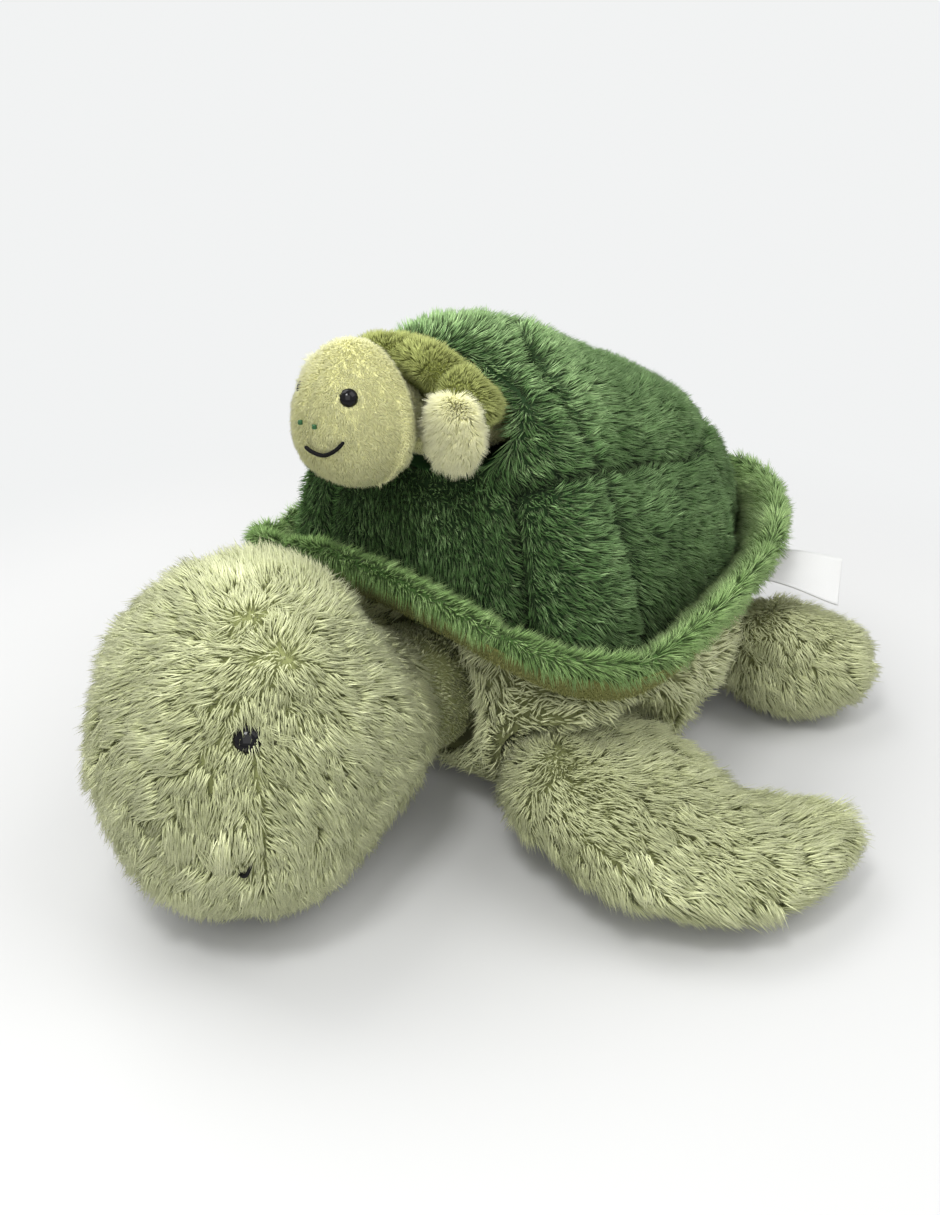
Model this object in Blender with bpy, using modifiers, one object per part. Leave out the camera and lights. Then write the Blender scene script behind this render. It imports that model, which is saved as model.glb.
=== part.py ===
"""A stuffed sea turtle with a young turtle in a pocket at the front of its shell.

Every place is measured from the ground point under the big turtle's head, with +X to the turtle's left,
+Y towards its tail and +Z up. MIDDLE_Y then moves the whole toy so that its middle stands on the origin.
"""
import math

import bmesh
import bpy
from mathutils import Matrix, Vector
from mathutils.bvhtree import BVHTree

MM = 0.001
UP = Vector((0.0, 0.0, 1.0))
FORWARD = Vector((0.0, -1.0, 0.0))

# Clearances and cuts
SEAM_GAP = 0.4 * MM
FILLING_GAP = 1.0 * MM
SWING_RINGS = 12
SWING_SIDES = 8
SOCKET_GAP = 0.9 * MM
SOCKET_WALL = 3.0 * MM
OVERRUN = 6.0 * MM
FLAT_CUT = 0.5 * MM
BLOCK_SHARE = 1.3
MERGE = 0.01 * MM
TURN_STEPS = 10
NECK_ROOM_STEPS = 16
DOME_STEPS = 3
STEP_SHARE = 0.02
TINY = 1e-9
ROUND_POWER = 2.0
SKEW_SHARE = 1.11
SHARP_SHARE = 1.12

# Whole toy
MIDDLE_Y = 144.5 * MM
PLUSH = 8.0 * MM

# Shell outline where it is sewn to the body
SHELL_FRONT_Y = 92.0 * MM
SHELL_LENGTH = 242.0 * MM
SHELL_HALF_WIDTH = 107.0 * MM
SEAM_FRONT_Z = 104.0 * MM
SEAM_BACK_Z = 80.0 * MM
SEAM_SIDE_DROP = 26.0 * MM
SEAM_STEPS = 10
SEAM_RUNS = 6
OUTLINE_SHARES = (
    (0.0, 0.0), (0.35, 0.0), (0.68, 0.01), (0.90, 0.045), (1.0, 0.125), (0.96, 0.28),
    (0.87, 0.46), (0.74, 0.64), (0.56, 0.79), (0.31, 0.93), (0.0, 1.0),
)
STATIONS = 32
FINE_STATIONS = 256

# Crown of the shell: shares of the way out from its peak, and of its height
PEAK_Y = 168.0 * MM
CROWN_HEIGHT = 129.0 * MM
CROWN_SKIRT = 30.0 * MM
CROWN_FRONT_SHARE = 0.42
CROWN_FRONT_POWER = 0.8
CROWN_BACK_SHARE = 0.45
CROWN_FRONT_OUT_SHARES = (1.0, 1.0, 0.98, 0.92, 0.78, 0.60, 0.40, 0.20, 0.0)
CROWN_FRONT_HEIGHT_SHARES = (0.0, 0.20, 0.42, 0.65, 0.84, 0.93, 0.98, 1.0, 1.0)
CROWN_SIDE_OUT_SHARES = (1.0, 0.97, 0.89, 0.78, 0.66, 0.50, 0.33, 0.16, 0.0)
CROWN_SIDE_HEIGHT_SHARES = (0.0, 0.18, 0.38, 0.54, 0.66, 0.80, 0.90, 0.975, 1.0)
CROWN_BACK_OUT_SHARES = (1.0, 0.97, 0.91, 0.80, 0.66, 0.50, 0.33, 0.16, 0.0)
CROWN_BACK_HEIGHT_SHARES = (0.0, 0.17, 0.36, 0.51, 0.62, 0.71, 0.80, 0.91, 1.0)
QUILT_DEPTH = 4.5 * MM
QUILT_RING = 4
QUILT_SPOKES = (4, 7, 12)
LOWER_SPOKES = (4, 12)

# Body under the shell
BELLY_MIDDLE_Y = 205.0 * MM
BODY_INSETS = (18.0 * MM, 2.0 * MM, -8.0 * MM, -7.0 * MM, 6.0 * MM)
BODY_LEVEL_SHARES = (0.09, 0.28, 0.52, 0.80, 1.06)
BELLY_SHARE = 0.58
BODY_TOP_SHARE = 1.12

# Stuffed lip round the shell
RIM_REACH = 21.0 * MM
RIM_RISE = 25.0 * MM
RIM_HALF_THICKNESS = 7.5 * MM
RIM_PLUSH = 3.5 * MM
RIM_LINING = 2.0 * MM
RIM_OUT = 2.4 * MM
RIM_END_ROUND = 2.6 * MM
RIM_COVER_ANGLES = tuple(math.radians(angle) for angle in (-52.0, 4.0, 60.0, 116.0, 172.0))
RIM_UNDERSIDE_ANGLES = tuple(math.radians(angle) for angle in (-176.0, -136.0, -96.0, -56.0))

# Pocket for the young turtle
POCKET_Y = 104.0 * MM
POCKET_Z = 191.0 * MM
POCKET_TILT = math.radians(8.0)
POCKET_DEPTH = 82.0 * MM
POCKET_HALF_WIDTH = 43.0 * MM
POCKET_HALF_HEIGHT = 22.0 * MM
POCKET_LINING = 1.5 * MM
POCKET_LEAD = 40.0 * MM
POCKET_BLUNT_POWER = 3.0
POCKET_OPEN_SHARE = 0.35

# Head and neck
NECK_PIVOT = Vector((0.0, 94.0, 57.0)) * MM
NECK_RADIUS = 38.0 * MM
HEAD_CENTRE = Vector((-6.0, 5.0, 75.0)) * MM
HEAD_HALF_WIDTH = 74.0 * MM
HEAD_HALF_HEIGHT = 76.5 * MM
HEAD_REACH = 76.0 * MM
HEAD_TURN = math.radians(19.0)
HEAD_WIDTH_SHARES = (0.52, 0.60, 0.85, 1.05, 1.15, 1.25, 1.32, 1.38, 1.42)
HEAD_HEIGHT_SHARES = (0.50, 0.51, 0.70, 1.07, 1.19, 1.26, 1.32, 1.38, 1.42)
HEAD_DROP_SHARE = 0.06
HEAD_CALM_SHARE = 0.5
NECK_OPEN_SHARE = 0.80
NECK_ROOM = tuple((radius * MM, height * MM) for radius, height in (
    (72.0, 26.0), (63.0, 12.0), (57.0, 5.0), (49.0, -4.0), (37.0, -17.0),
))

# Safety eyes and face of the big turtle
EYE_RADIUS = 6.0 * MM
EYE_CROWN = 4.0 * MM
EYE_SHANK_RADIUS = 2.0 * MM
EYE_SHANK_LENGTH = 9.5 * MM
EYE_SINK = 5.0 * MM
EYE_WASHER_RADIUS = 7.5 * MM
EYE_WASHER_THICKNESS = 1.5 * MM
EYE_SIDE_ANGLE = math.radians(33.0)
EYE_RISE_ANGLE = math.radians(30.0)
THREAD_RADIUS = 0.9 * MM
THREAD_LIFT = 0.8 * MM
THREAD_POINTS = 11
MOUTH_ANGLES = tuple(
    (math.radians(side), math.radians(rise))
    for side, rise in ((-9.0, -26.0), (2.0, -29.0), (13.0, -28.0), (23.0, -22.0), (31.0, -13.0))
)

# Front flippers
ROOT_OPEN_SHARE = 0.72
FLIPPER_BOW_SHARES = (0.6, 1.0)
FLIPPER_CALM_SHARE = 0.5
FRONT_BLUNT_POWER = 2.5
REAR_BLUNT_POWER = 2.3
FRONT_PIVOT = Vector((83.0, 110.0, 42.0)) * MM
FRONT_ROOT_HALF_WIDTH = 40.0 * MM
FRONT_ROOT_RADIUS = 27.0 * MM
FRONT_TIP = Vector((189.0, 184.0, 26.0)) * MM
FRONT_BOW = Vector((12.0, -30.0, -9.5)) * MM
FRONT_HALF_WIDTH = 58.0 * MM
FRONT_HALF_HEIGHT = 29.0 * MM
FRONT_WIDTH_SHARES = (1.0, 1.06, 1.04, 1.0)
FRONT_HEIGHT_SHARES = (1.0, 0.98, 0.92, 0.85)

FRONT_SPARE = 1.3 * MM
FRONT_SWINGS = tuple(math.radians(angle) for angle in (-23.0, -4.0, 15.0))

# Rear flippers
REAR_SPARE = 0.6 * MM
REAR_SWINGS = tuple(math.radians(angle) for angle in (-8.0, 5.0, 18.0))
REAR_PIVOT = Vector((66.0, 272.0, 34.0)) * MM
REAR_ROOT_HALF_WIDTH = 28.0 * MM
REAR_ROOT_RADIUS = 24.0 * MM
REAR_TIP = Vector((124.0, 319.0, 30.0)) * MM
REAR_BOW = Vector((4.0, -8.0, -2.0)) * MM
REAR_HALF_WIDTH = 40.0 * MM
REAR_HALF_HEIGHT = 32.5 * MM
REAR_WIDTH_SHARES = (0.92, 1.03, 1.10, 1.15)
REAR_HEIGHT_SHARES = (0.98, 1.02, 1.05, 1.05)

# Sewn-in label: it comes out of the seam, droops and turns its face up
LABEL_ROUND_SHARE = 0.375
LABEL_WIDTH = 26.0 * MM
LABEL_START = 3.5 * MM
LABEL_LENGTH = 50.0 * MM
LABEL_THICKNESS = 1.2 * MM
LABEL_HANG = 3.0 * MM
LABEL_DROOP = 4.0 * MM
LABEL_TWIST = math.radians(45.0)
LABEL_STEPS = 5

# Young turtle: places along the pocket are measured inwards from its mouth, heights from its axis
YOUNG_BODY_PLACES = (-4.0 * MM, 30.0 * MM, 60.0 * MM)
YOUNG_BODY_DROP = 4.5 * MM
YOUNG_BODY_HALF_WIDTHS = (19.0 * MM, 30.0 * MM, 29.0 * MM)
YOUNG_BODY_HALF_HEIGHTS = (11.0 * MM, 13.0 * MM, 12.0 * MM)
YOUNG_BODY_LEAD = 11.0 * MM
YOUNG_SEAM_RISE = 4.0 * MM
YOUNG_SHELL_PLACE = 31.0 * MM
YOUNG_SHELL_HALF_LENGTH = 34.0 * MM
YOUNG_SHELL_HALF_WIDTH = 35.0 * MM
YOUNG_SHELL_HEIGHT = 19.5 * MM
YOUNG_PLUSH = 2.5 * MM
YOUNG_SOCKET_GAP = 0.6 * MM
YOUNG_SOCKET_WALL = 1.8 * MM

# Stuffed lip at the front of the young turtle's shell
YOUNG_RIM_POINTS = tuple(Vector(place) * MM for place in (
    (-24.5, 113.5, 196.8), (-29.5, 106.0, 203.0), (-32.0, 97.0, 211.0), (-28.0, 98.0, 215.5),
    (-22.0, 98.0, 219.0), (-12.0, 98.2, 221.5), (0.0, 98.4, 222.5), (12.0, 98.2, 221.5), (19.0, 98.0, 219.5),
    (24.0, 98.0, 217.5), (28.0, 98.0, 215.5), (32.0, 97.0, 211.0), (29.5, 106.0, 203.0), (24.5, 113.5, 196.8),
))
YOUNG_RIM_RADIUS = 8.5 * MM
YOUNG_RIM_SHARES = (0.3, 0.4, 0.75, 0.82, 0.94, 1.0, 1.0, 1.0, 0.82, 0.86, 0.84, 0.75, 0.4, 0.3)

# Young turtle's head
YOUNG_NECK_PIVOT = Vector((-3.0, 86.0, 197.0)) * MM
YOUNG_NECK_RADIUS = 16.5 * MM
YOUNG_HEAD_CENTRE = Vector((-6.0, 68.0, 201.0)) * MM
YOUNG_HEAD_HALF_WIDTH = 27.5 * MM
YOUNG_HEAD_HALF_HEIGHT = 36.5 * MM
YOUNG_HEAD_REACH = 26.0 * MM
YOUNG_HEAD_TURN = math.radians(6.0)
YOUNG_HEAD_CALM_SHARE = 0.5
YOUNG_HEAD_WIDTH_SHARES = (0.61, 0.86, 1.0, 1.12, 1.22)
YOUNG_HEAD_HEIGHT_SHARES = (0.50, 0.80, 1.0, 1.10, 1.16)
YOUNG_HEAD_CROWN_SHARE = 0.16
YOUNG_EYE_RADIUS = 3.8 * MM
YOUNG_EYE_CROWN = 3.0 * MM
YOUNG_EYE_SINK = 0.8 * MM
YOUNG_EYE_SHANK_RADIUS = 1.0 * MM
YOUNG_EYE_SHANK_LENGTH = 5.0 * MM
YOUNG_EYE_WASHER_RADIUS = 3.5 * MM
YOUNG_EYE_WASHER_THICKNESS = 1.0 * MM
YOUNG_EYE_SIDE_ANGLE = math.radians(42.0)
YOUNG_EYE_RISE_ANGLE = math.radians(32.0)
YOUNG_THREAD_RADIUS = 0.8 * MM
NOSTRIL_ANGLES = math.radians(9.0), math.radians(2.0)
NOSTRIL_LENGTH_ANGLE = math.radians(4.0)
SMILE_ANGLES = tuple(
    (math.radians(side), math.radians(rise))
    for side, rise in ((-2.0, -24.0), (8.0, -26.0), (19.0, -25.0), (29.0, -20.0), (37.0, -13.0))
)

# Young turtle's front and rear flippers
YOUNG_FLIPPER_ROOT = Vector((37.5, 84.5, 205.0)) * MM
YOUNG_FLIPPER_TIP = Vector((38.5, 83.0, 178.0)) * MM
YOUNG_FLIPPER_ROOT_RADIUS = 10.0 * MM
YOUNG_FLIPPER_HALF_WIDTHS = (10.0 * MM, 14.5 * MM, 16.0 * MM)
YOUNG_FLIPPER_HALF_THICKNESSES = (8.0 * MM, 8.0 * MM, 8.0 * MM)
YOUNG_REAR_PLACE = 52.0 * MM
YOUNG_REAR_OUT = 26.0 * MM
YOUNG_REAR_HALF_SIZES = (9.0 * MM, 14.0 * MM, 6.5 * MM)

# Joints: the empty that carries each group of pieces, and what carries that empty
PIVOT_SIZE = 20.0 * MM
PIVOT_PLACES = {}
PIVOT_CARRIERS = {
    "head_turn": "head_nod",
    "young_head_nod": "young_turtle_slide",
    "young_flipper_left_flap": "young_turtle_slide",
    "young_flipper_right_flap": "young_turtle_slide",
}
PIECE_PIVOTS = (
    ("neck_filling", "head_nod"),
    ("head_", "head_turn"),
    ("eye_", "head_turn"),
    ("mouth_", "head_turn"),
    ("front_flipper_left_", "front_flipper_left_flap"),
    ("front_flipper_right_", "front_flipper_right_flap"),
    ("rear_flipper_left_", "rear_flipper_left_flap"),
    ("rear_flipper_right_", "rear_flipper_right_flap"),
    ("young_head_", "young_head_nod"),
    ("young_eye_", "young_head_nod"),
    ("young_nostril_", "young_head_nod"),
    ("young_smile_", "young_head_nod"),
    ("young_front_flipper_left_", "young_flipper_left_flap"),
    ("young_front_flipper_right_", "young_flipper_right_flap"),
    ("young_", "young_turtle_slide"),
)

# Each piece's colour and roughness
FINISHES = {
    "sage": ("sage_plush", (0.42, 0.50, 0.27), 0.95),
    "green": ("green_plush", (0.05, 0.16, 0.05), 0.95),
    "rim": ("rim_plush", (0.10, 0.28, 0.09), 0.95),
    "olive": ("olive_velour", (0.16, 0.20, 0.06), 0.95),
    "fibre": ("white_fibre", (0.85, 0.85, 0.83), 0.95),
    "lining": ("lining_cloth", (0.06, 0.14, 0.05), 0.95),
    "pale": ("pale_plush", (0.58, 0.63, 0.30), 0.95),
    "moss": ("moss_plush", (0.18, 0.23, 0.05), 0.95),
    "eye": ("black_gloss_plastic", (0.005, 0.005, 0.005), 0.12),
    "nylon": ("white_nylon", (0.80, 0.80, 0.80), 0.40),
    "thread": ("black_thread", (0.01, 0.01, 0.01), 0.60),
    "green_thread": ("green_thread", (0.02, 0.09, 0.03), 0.60),
    "ribbon": ("white_ribbon", (0.85, 0.85, 0.85), 0.55),
}

PART = bpy.data.collections.new("plush_turtle")
CUTTERS = bpy.data.collections.new("cutters")
POCKET_AXIS = Vector((0.0, math.cos(POCKET_TILT), -math.sin(POCKET_TILT)))
POCKET_UP = Vector((0.0, math.sin(POCKET_TILT), math.cos(POCKET_TILT)))


def clear_scene():
    """Empties the scene and adds the two collections."""
    for found in list(bpy.data.objects):
        bpy.data.objects.remove(found, do_unlink=True)
    bpy.context.scene.collection.children.link(PART)
    bpy.context.scene.collection.children.link(CUTTERS)


def cloth(name, colour, roughness):
    """A plain material in the piece's own colour."""
    made = bpy.data.materials.new(name)
    made.use_nodes = True
    shader = made.node_tree.nodes["Principled BSDF"]
    shader.inputs["Base Color"].default_value = (*colour, 1.0)
    shader.inputs["Roughness"].default_value = roughness
    shader.inputs["Metallic"].default_value = 0.0
    return made


def placed(x, y, z):
    """A point measured from under the head, moved to the toy's own frame."""
    return Vector((x, y - MIDDLE_Y, z))


def moved(point):
    """The same for a vector."""
    return placed(point.x, point.y, point.z)


def mirrored(point, side):
    """The point on the left (1) or the right (-1) side."""
    return Vector((point.x * side, point.y, point.z))


def along(values, share):
    """The smooth value of evenly spaced values at a share from 0 to 1."""
    last = len(values) - 1
    at = min(max(share, 0.0), 1.0) * last
    k = min(int(at), last - 1)
    t = at - k
    before, here, after, beyond = (values[min(max(i, 0), last)] for i in (k - 1, k, k + 1, k + 2))
    rise, fall = (after - before) * 0.5, (beyond - here) * 0.5
    return (
        here * (2 * t**3 - 3 * t**2 + 1) + rise * (t**3 - 2 * t**2 + t)
        + after * (3 * t**2 - 2 * t**3) + fall * (t**3 - t**2)
    )


def split_faces(bm):
    """Splits each face into triangles the same way every time, so that nested surfaces stay parallel."""
    bmesh.ops.triangulate(bm, faces=bm.faces, quad_method="FIXED", ngon_method="EAR_CLIP")
    return bm


def face_out(bm):
    """Turns a closed surface whose faces agree so that they point outwards."""
    if bm.calc_volume(signed=True) < 0.0:
        bmesh.ops.reverse_faces(bm, faces=bm.faces)
    bm.normal_update()


def add(name, bm, finish=None, cutter=False):
    """Turns a bmesh into an object of the toy, or into a cutter that is not part of it."""
    face_out(bm)
    mesh = bpy.data.meshes.new(name)
    bm.to_mesh(mesh)
    bm.free()
    made = bpy.data.objects.new(name, mesh)
    if cutter:
        made.hide_render = True
        made.display_type = "WIRE"
        CUTTERS.objects.link(made)
    else:
        mesh.materials.append(finish)
        mesh.shade_smooth()
        PART.objects.link(made)
    return made


def cut(target, tool, operation="DIFFERENCE", solver="EXACT"):
    """Cuts one object by another."""
    step = target.modifiers.new(f"{operation.lower()}_{tool.name}", "BOOLEAN")
    step.operation = operation
    step.solver = solver
    step.object = tool


def inner_places(bm, depth):
    """Where each vertex of a closed surface lies on the surface a depth inside it."""
    face_out(bm)
    return {
        vert: vert.co - vert.normal * depth * min(vert.calc_shell_factor(), SHARP_SHARE)
        for vert in bm.verts
    }


def shrink(bm, depth):
    """Moves a closed surface inwards by a depth, or outwards by a negative one."""
    for vert, place in inner_places(bm, depth).items():
        vert.co = place


def backed(bm, places):
    """An open sheet with a second side at the places given for its vertices, and its edge closed."""
    faces, rim = list(bm.faces), [edge.link_loops[0] for edge in bm.edges if edge.is_boundary]
    rim = [(loop.vert, loop.link_loop_next.vert) for loop in rim]
    inner = {vert: bm.verts.new(places[vert]) for vert in list(bm.verts)}
    for face in faces:
        bm.faces.new([inner[vert] for vert in reversed(face.verts)])
    for one, two in rim:
        bm.faces.new((two, one, inner[one], inner[two]))
    return bm


class Form:
    """A stuffed form: the rings of a ball spread along a curved spine, with a round root end.

    The root end is half an ellipsoid round the first point of the spine, so it turns in a round socket.
    """

    def __init__(
        self, spine, widths, heights, across, root_reach, rings, sides, blunt=ROUND_POWER, taper=0.0,
        calm=0.0,
    ):
        self.spine, self.widths, self.heights, self.taper, self.calm = spine, widths, heights, taper, calm
        self.across, self.root_reach = across, root_reach
        self.rings, self.sides, self.blunt = rings, sides, blunt

    def frame(self, share):
        """The middle of a ring, its tangent, its width direction and its height direction.

        The calm share draws the tangent towards the chord, so that rings don't cross inside a bend.
        """
        middle = along(self.spine, share)
        ahead, behind = along(self.spine, share + STEP_SHARE), along(self.spine, share - STEP_SHARE)
        tangent = (ahead - behind).normalized()
        chord = (self.spine[-1] - self.spine[0]).normalized()
        tangent = tangent.lerp(chord, self.calm).normalized()
        wide = (self.across - tangent * self.across.dot(tangent)).normalized()
        high = tangent.cross(wide)
        return middle, tangent, wide, high if high.z > 0 else -high

    def bmesh(self, depth=0.0, mouth=None):
        """The surface, moved inwards by a depth, and open past a mouth share of its root end."""
        bm = bmesh.new()
        bmesh.ops.create_uvsphere(bm, u_segments=self.sides, v_segments=self.rings, radius=1.0)
        open_end = [vert for vert in bm.verts if mouth is not None and vert.co.z > mouth]
        for vert in bm.verts:
            x, y, z = vert.co
            round_share = math.hypot(x, y)
            x, y = (x / round_share, y / round_share) if round_share > TINY else (0.0, 0.0)
            if z >= 0.0:
                middle, tangent, wide, high = self.frame(0.0)
                middle = middle - tangent * self.root_reach * z
                half_wide, half_high = self.widths[0] * round_share, self.heights[0] * round_share
            else:
                middle, tangent, wide, high = self.frame(-z)
                size = (1.0 - (-z) ** self.blunt) ** (1.0 / self.blunt) if z > -1.0 else 0.0
                half_wide, half_high = along(self.widths, -z) * size, along(self.heights, -z) * size
            narrow = 1.0 - self.taper * y * half_high / max(self.heights)
            vert.co = middle + wide * half_wide * x * narrow + high * half_high * y
        split_faces(bm)
        if depth:
            shrink(bm, depth)
        return bm, open_end

    def surface(self, depth=0.0):
        """The closed surface, moved inwards by a depth."""
        return self.bmesh(depth)[0]

    def skin(self, name, wall, mouth, finish, outwards=False):
        """A cloth skin with an open root end, its wall inside the form or outside it."""
        bm, open_end = self.bmesh(mouth=mouth)
        places = inner_places(bm, -wall if outwards else wall)
        bmesh.ops.delete(bm, geom=open_end, context="VERTS")
        return add(name, backed(bm, places), finish)

    def filling(self, name, wall, finish):
        """What fills the skin, a seam gap inside it."""
        return add(name, self.surface(wall + FILLING_GAP), finish)

    def tree(self):
        """The outer surface, for setting pieces on it."""
        bm = self.surface()
        made = BVHTree.FromBMesh(bm)
        bm.free()
        return made


def ellipsoid(name, centre, along_axis, half_along, radius, segments):
    """A cutter: an ellipsoid of revolution about an axis, with its facets' middles on the true surface."""
    spread = 1.0 / math.cos(math.pi / segments)
    bm = bmesh.new()
    bmesh.ops.create_uvsphere(bm, u_segments=segments, v_segments=segments * 3 // 4, radius=1.0)
    turn = along_axis.to_track_quat("Z", "Y").to_matrix().to_4x4()
    size = Matrix.Diagonal((radius * spread, radius * spread, half_along * spread, 1.0))
    bmesh.ops.transform(bm, matrix=Matrix.Translation(centre) @ turn @ size, verts=bm.verts)
    return add(name, bm, cutter=True)


def block(name, low, high, tilt=0.0, pivot=None):
    """A cutter: a box between two corners, tilted about X at a pivot."""
    bm = bmesh.new()
    bmesh.ops.create_cube(bm, size=1.0)
    size = high - low
    bmesh.ops.scale(bm, vec=size, verts=bm.verts)
    bmesh.ops.translate(bm, vec=(low + high) * 0.5, verts=bm.verts)
    if pivot is not None:
        bmesh.ops.rotate(bm, cent=pivot, matrix=Matrix.Rotation(tilt, 3, "X"), verts=bm.verts)
    return add(name, bm, cutter=True)


def outline_point(share):
    """A point of the shell's sewn outline, from its front round its left side and back."""
    side = 1.0 if share <= 0.5 else -1.0
    half = share * 2.0 if share <= 0.5 else 2.0 - share * 2.0
    points = [Vector((-OUTLINE_SHARES[1][0], OUTLINE_SHARES[1][1], 0.0))]
    points += [Vector((x, y, 0.0)) for x, y in OUTLINE_SHARES]
    points += [Vector((-OUTLINE_SHARES[-2][0], OUTLINE_SHARES[-2][1], 0.0))]
    spans = len(points) - 1
    found = along(points, (1.0 + half * (spans - 2)) / spans)
    return Vector((found.x * SHELL_HALF_WIDTH * side, found.y * SHELL_LENGTH + SHELL_FRONT_Y, 0.0))


def stations():
    """Evenly spaced points of the outline with their outward directions."""
    fine = [outline_point(i / FINE_STATIONS) for i in range(FINE_STATIONS + 1)]
    run = [0.0]
    for a, b in zip(fine, fine[1:]):
        run.append(run[-1] + (b - a).length)
    found = []
    for k in range(STATIONS):
        goal = run[-1] * k / STATIONS
        i = max(j for j in range(len(fine)) if run[j] <= goal + TINY)
        i = min(i, len(fine) - 2)
        t = (goal - run[i]) / (run[i + 1] - run[i])
        found.append(fine[i].lerp(fine[i + 1], t))
    out = []
    for k in range(STATIONS):
        chord = found[(k + 1) % STATIONS] - found[k - 1]
        out.append(Vector((chord.y, -chord.x, 0.0)).normalized())
    return found, out


def seam_z(x, y):
    """The height of the sewn edge between body and shell, which drops towards the tail and the sides."""
    back = (y - SHELL_FRONT_Y) / SHELL_LENGTH
    middle = SEAM_FRONT_Z + (SEAM_BACK_Z - SEAM_FRONT_Z) * back
    return middle - SEAM_SIDE_DROP * (1.0 - back) * (x / SHELL_HALF_WIDTH) ** 2


def loft(rings, pole_start=None, pole_end=None, ring_closed=False):
    """A surface through rings of equal count, with a point at either end, or closed on itself."""
    bm = bmesh.new()
    rows = [[bm.verts.new(moved(point)) for point in ring] for ring in rings]
    count = len(rows[0])
    pairs = list(zip(rows, rows[1:])) + ([(rows[-1], rows[0])] if ring_closed else [])
    for one, two in pairs:
        for i in range(count):
            j = (i + 1) % count
            bm.faces.new((one[i], one[j], two[j], two[i]))
    for pole, row in ((pole_start, rows[0][::-1]), (pole_end, rows[-1])):
        if pole is not None:
            tip = bm.verts.new(moved(pole))
            for i in range(count):
                bm.faces.new((row[i], row[(i + 1) % count], tip))
    return split_faces(bm)


def crown_rings():
    """The rings of the shell's crown, from its sewn edge up to its peak, with the quilting drawn in."""
    outline = stations()[0]
    peak = Vector((0.0, PEAK_Y, seam_z(0.0, PEAK_Y) + CROWN_HEIGHT))
    rings = []
    for level in range(len(CROWN_FRONT_OUT_SHARES) - 1):
        ring = []
        for k, edge in enumerate(outline):
            half = min(k, STATIONS - k) / (STATIONS / 2)
            front = max(0.0, 1.0 - half / CROWN_FRONT_SHARE) ** CROWN_FRONT_POWER
            back = max(0.0, (half - CROWN_BACK_SHARE) / (1.0 - CROWN_BACK_SHARE))
            side = 1.0 - front - back
            out = (
                front * CROWN_FRONT_OUT_SHARES[level] + side * CROWN_SIDE_OUT_SHARES[level]
                + back * CROWN_BACK_OUT_SHARES[level]
            )
            rise = (
                front * CROWN_FRONT_HEIGHT_SHARES[level] + side * CROWN_SIDE_HEIGHT_SHARES[level]
                + back * CROWN_BACK_HEIGHT_SHARES[level]
            )
            base = seam_z(edge.x, edge.y)
            point = Vector((
                edge.x * out, PEAK_Y + (edge.y - PEAK_Y) * out, base + (peak.z - base) * rise,
            ))
            spoke = min(k, STATIONS - k)
            on_spoke = spoke in QUILT_SPOKES and 0 < level and (
                level < QUILT_RING or spoke not in LOWER_SPOKES
            )
            if level == QUILT_RING or on_spoke:
                inwards = (Vector((0.0, PEAK_Y, base)) - point).normalized()
                point += inwards * QUILT_DEPTH
            ring.append(point)
        rings.append(ring)
    return rings, peak


def crown_solid(name, depth, finish=None, cutter=True):
    """The crown as a closed solid that runs on below the sewn edge, moved inwards by a depth."""
    rings, peak = crown_rings()
    below = [[point - UP * drop for point in rings[0]] for drop in (CROWN_SKIRT, OVERRUN)]
    foot = Vector((0.0, PEAK_Y, seam_z(0.0, PEAK_Y) - CROWN_SKIRT))
    bm = loft(below + rings[1:], pole_start=foot, pole_end=peak)
    if depth:
        shrink(bm, depth)
    return add(name, bm, finish, cutter)


def seam_block(name, lift, above):
    """A cutter: the space above or below the arched surface through the sewn edge."""
    reach = SHELL_HALF_WIDTH * BLOCK_SHARE
    far = SHELL_LENGTH if above else -SHELL_LENGTH
    rings = []
    for run in range(SEAM_RUNS + 1):
        y = SHELL_FRONT_Y - reach + (SHELL_LENGTH + reach * 2.0) * run / SEAM_RUNS
        ring = []
        for i in range(SEAM_STEPS + 1):
            x = reach * (2.0 * i / SEAM_STEPS - 1.0)
            ring.append(Vector((x, y, seam_z(x, y) + lift)))
        rings.append(ring + [ring[-1] + UP * far, ring[0] + UP * far])
    bm = loft(rings)
    bmesh.ops.holes_fill(bm, edges=[edge for edge in bm.edges if edge.is_boundary], sides=SEAM_STEPS * 2)
    bmesh.ops.recalc_face_normals(bm, faces=bm.faces)
    return add(name, bm, cutter=True)


def floor_block():
    """A cutter: everything under the floor."""
    reach = SHELL_LENGTH * BLOCK_SHARE
    low = Vector((-reach, -reach, -SHELL_LENGTH))
    return block("under_floor", low, Vector((reach * SKEW_SHARE, reach, 0.0)))


def body_bmesh(depth=0.0):
    """The body's closed form, which follows the shell's outline in plan and swells at half height."""
    outline = stations()[0]
    middle = Vector((0.0, BELLY_MIDDLE_Y, 0.0))
    rings = [[middle.lerp(edge, BELLY_SHARE) + UP * (depth - FLAT_CUT) for edge in outline]]
    for inset, level in zip(BODY_INSETS, BODY_LEVEL_SHARES):
        ring = []
        for edge in outline:
            point = edge + (middle - edge).normalized() * (inset + depth)
            height = seam_z(point.x, point.y) * level + depth * max(0.0, 1.0 - level)
            ring.append(Vector((point.x, point.y, height)))
        rings.append(ring)
    bottom = middle + UP * (depth - FLAT_CUT)
    top = middle + UP * seam_z(0.0, BELLY_MIDDLE_Y) * BODY_TOP_SHARE
    return loft(rings, pole_start=bottom, pole_end=top)


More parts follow.
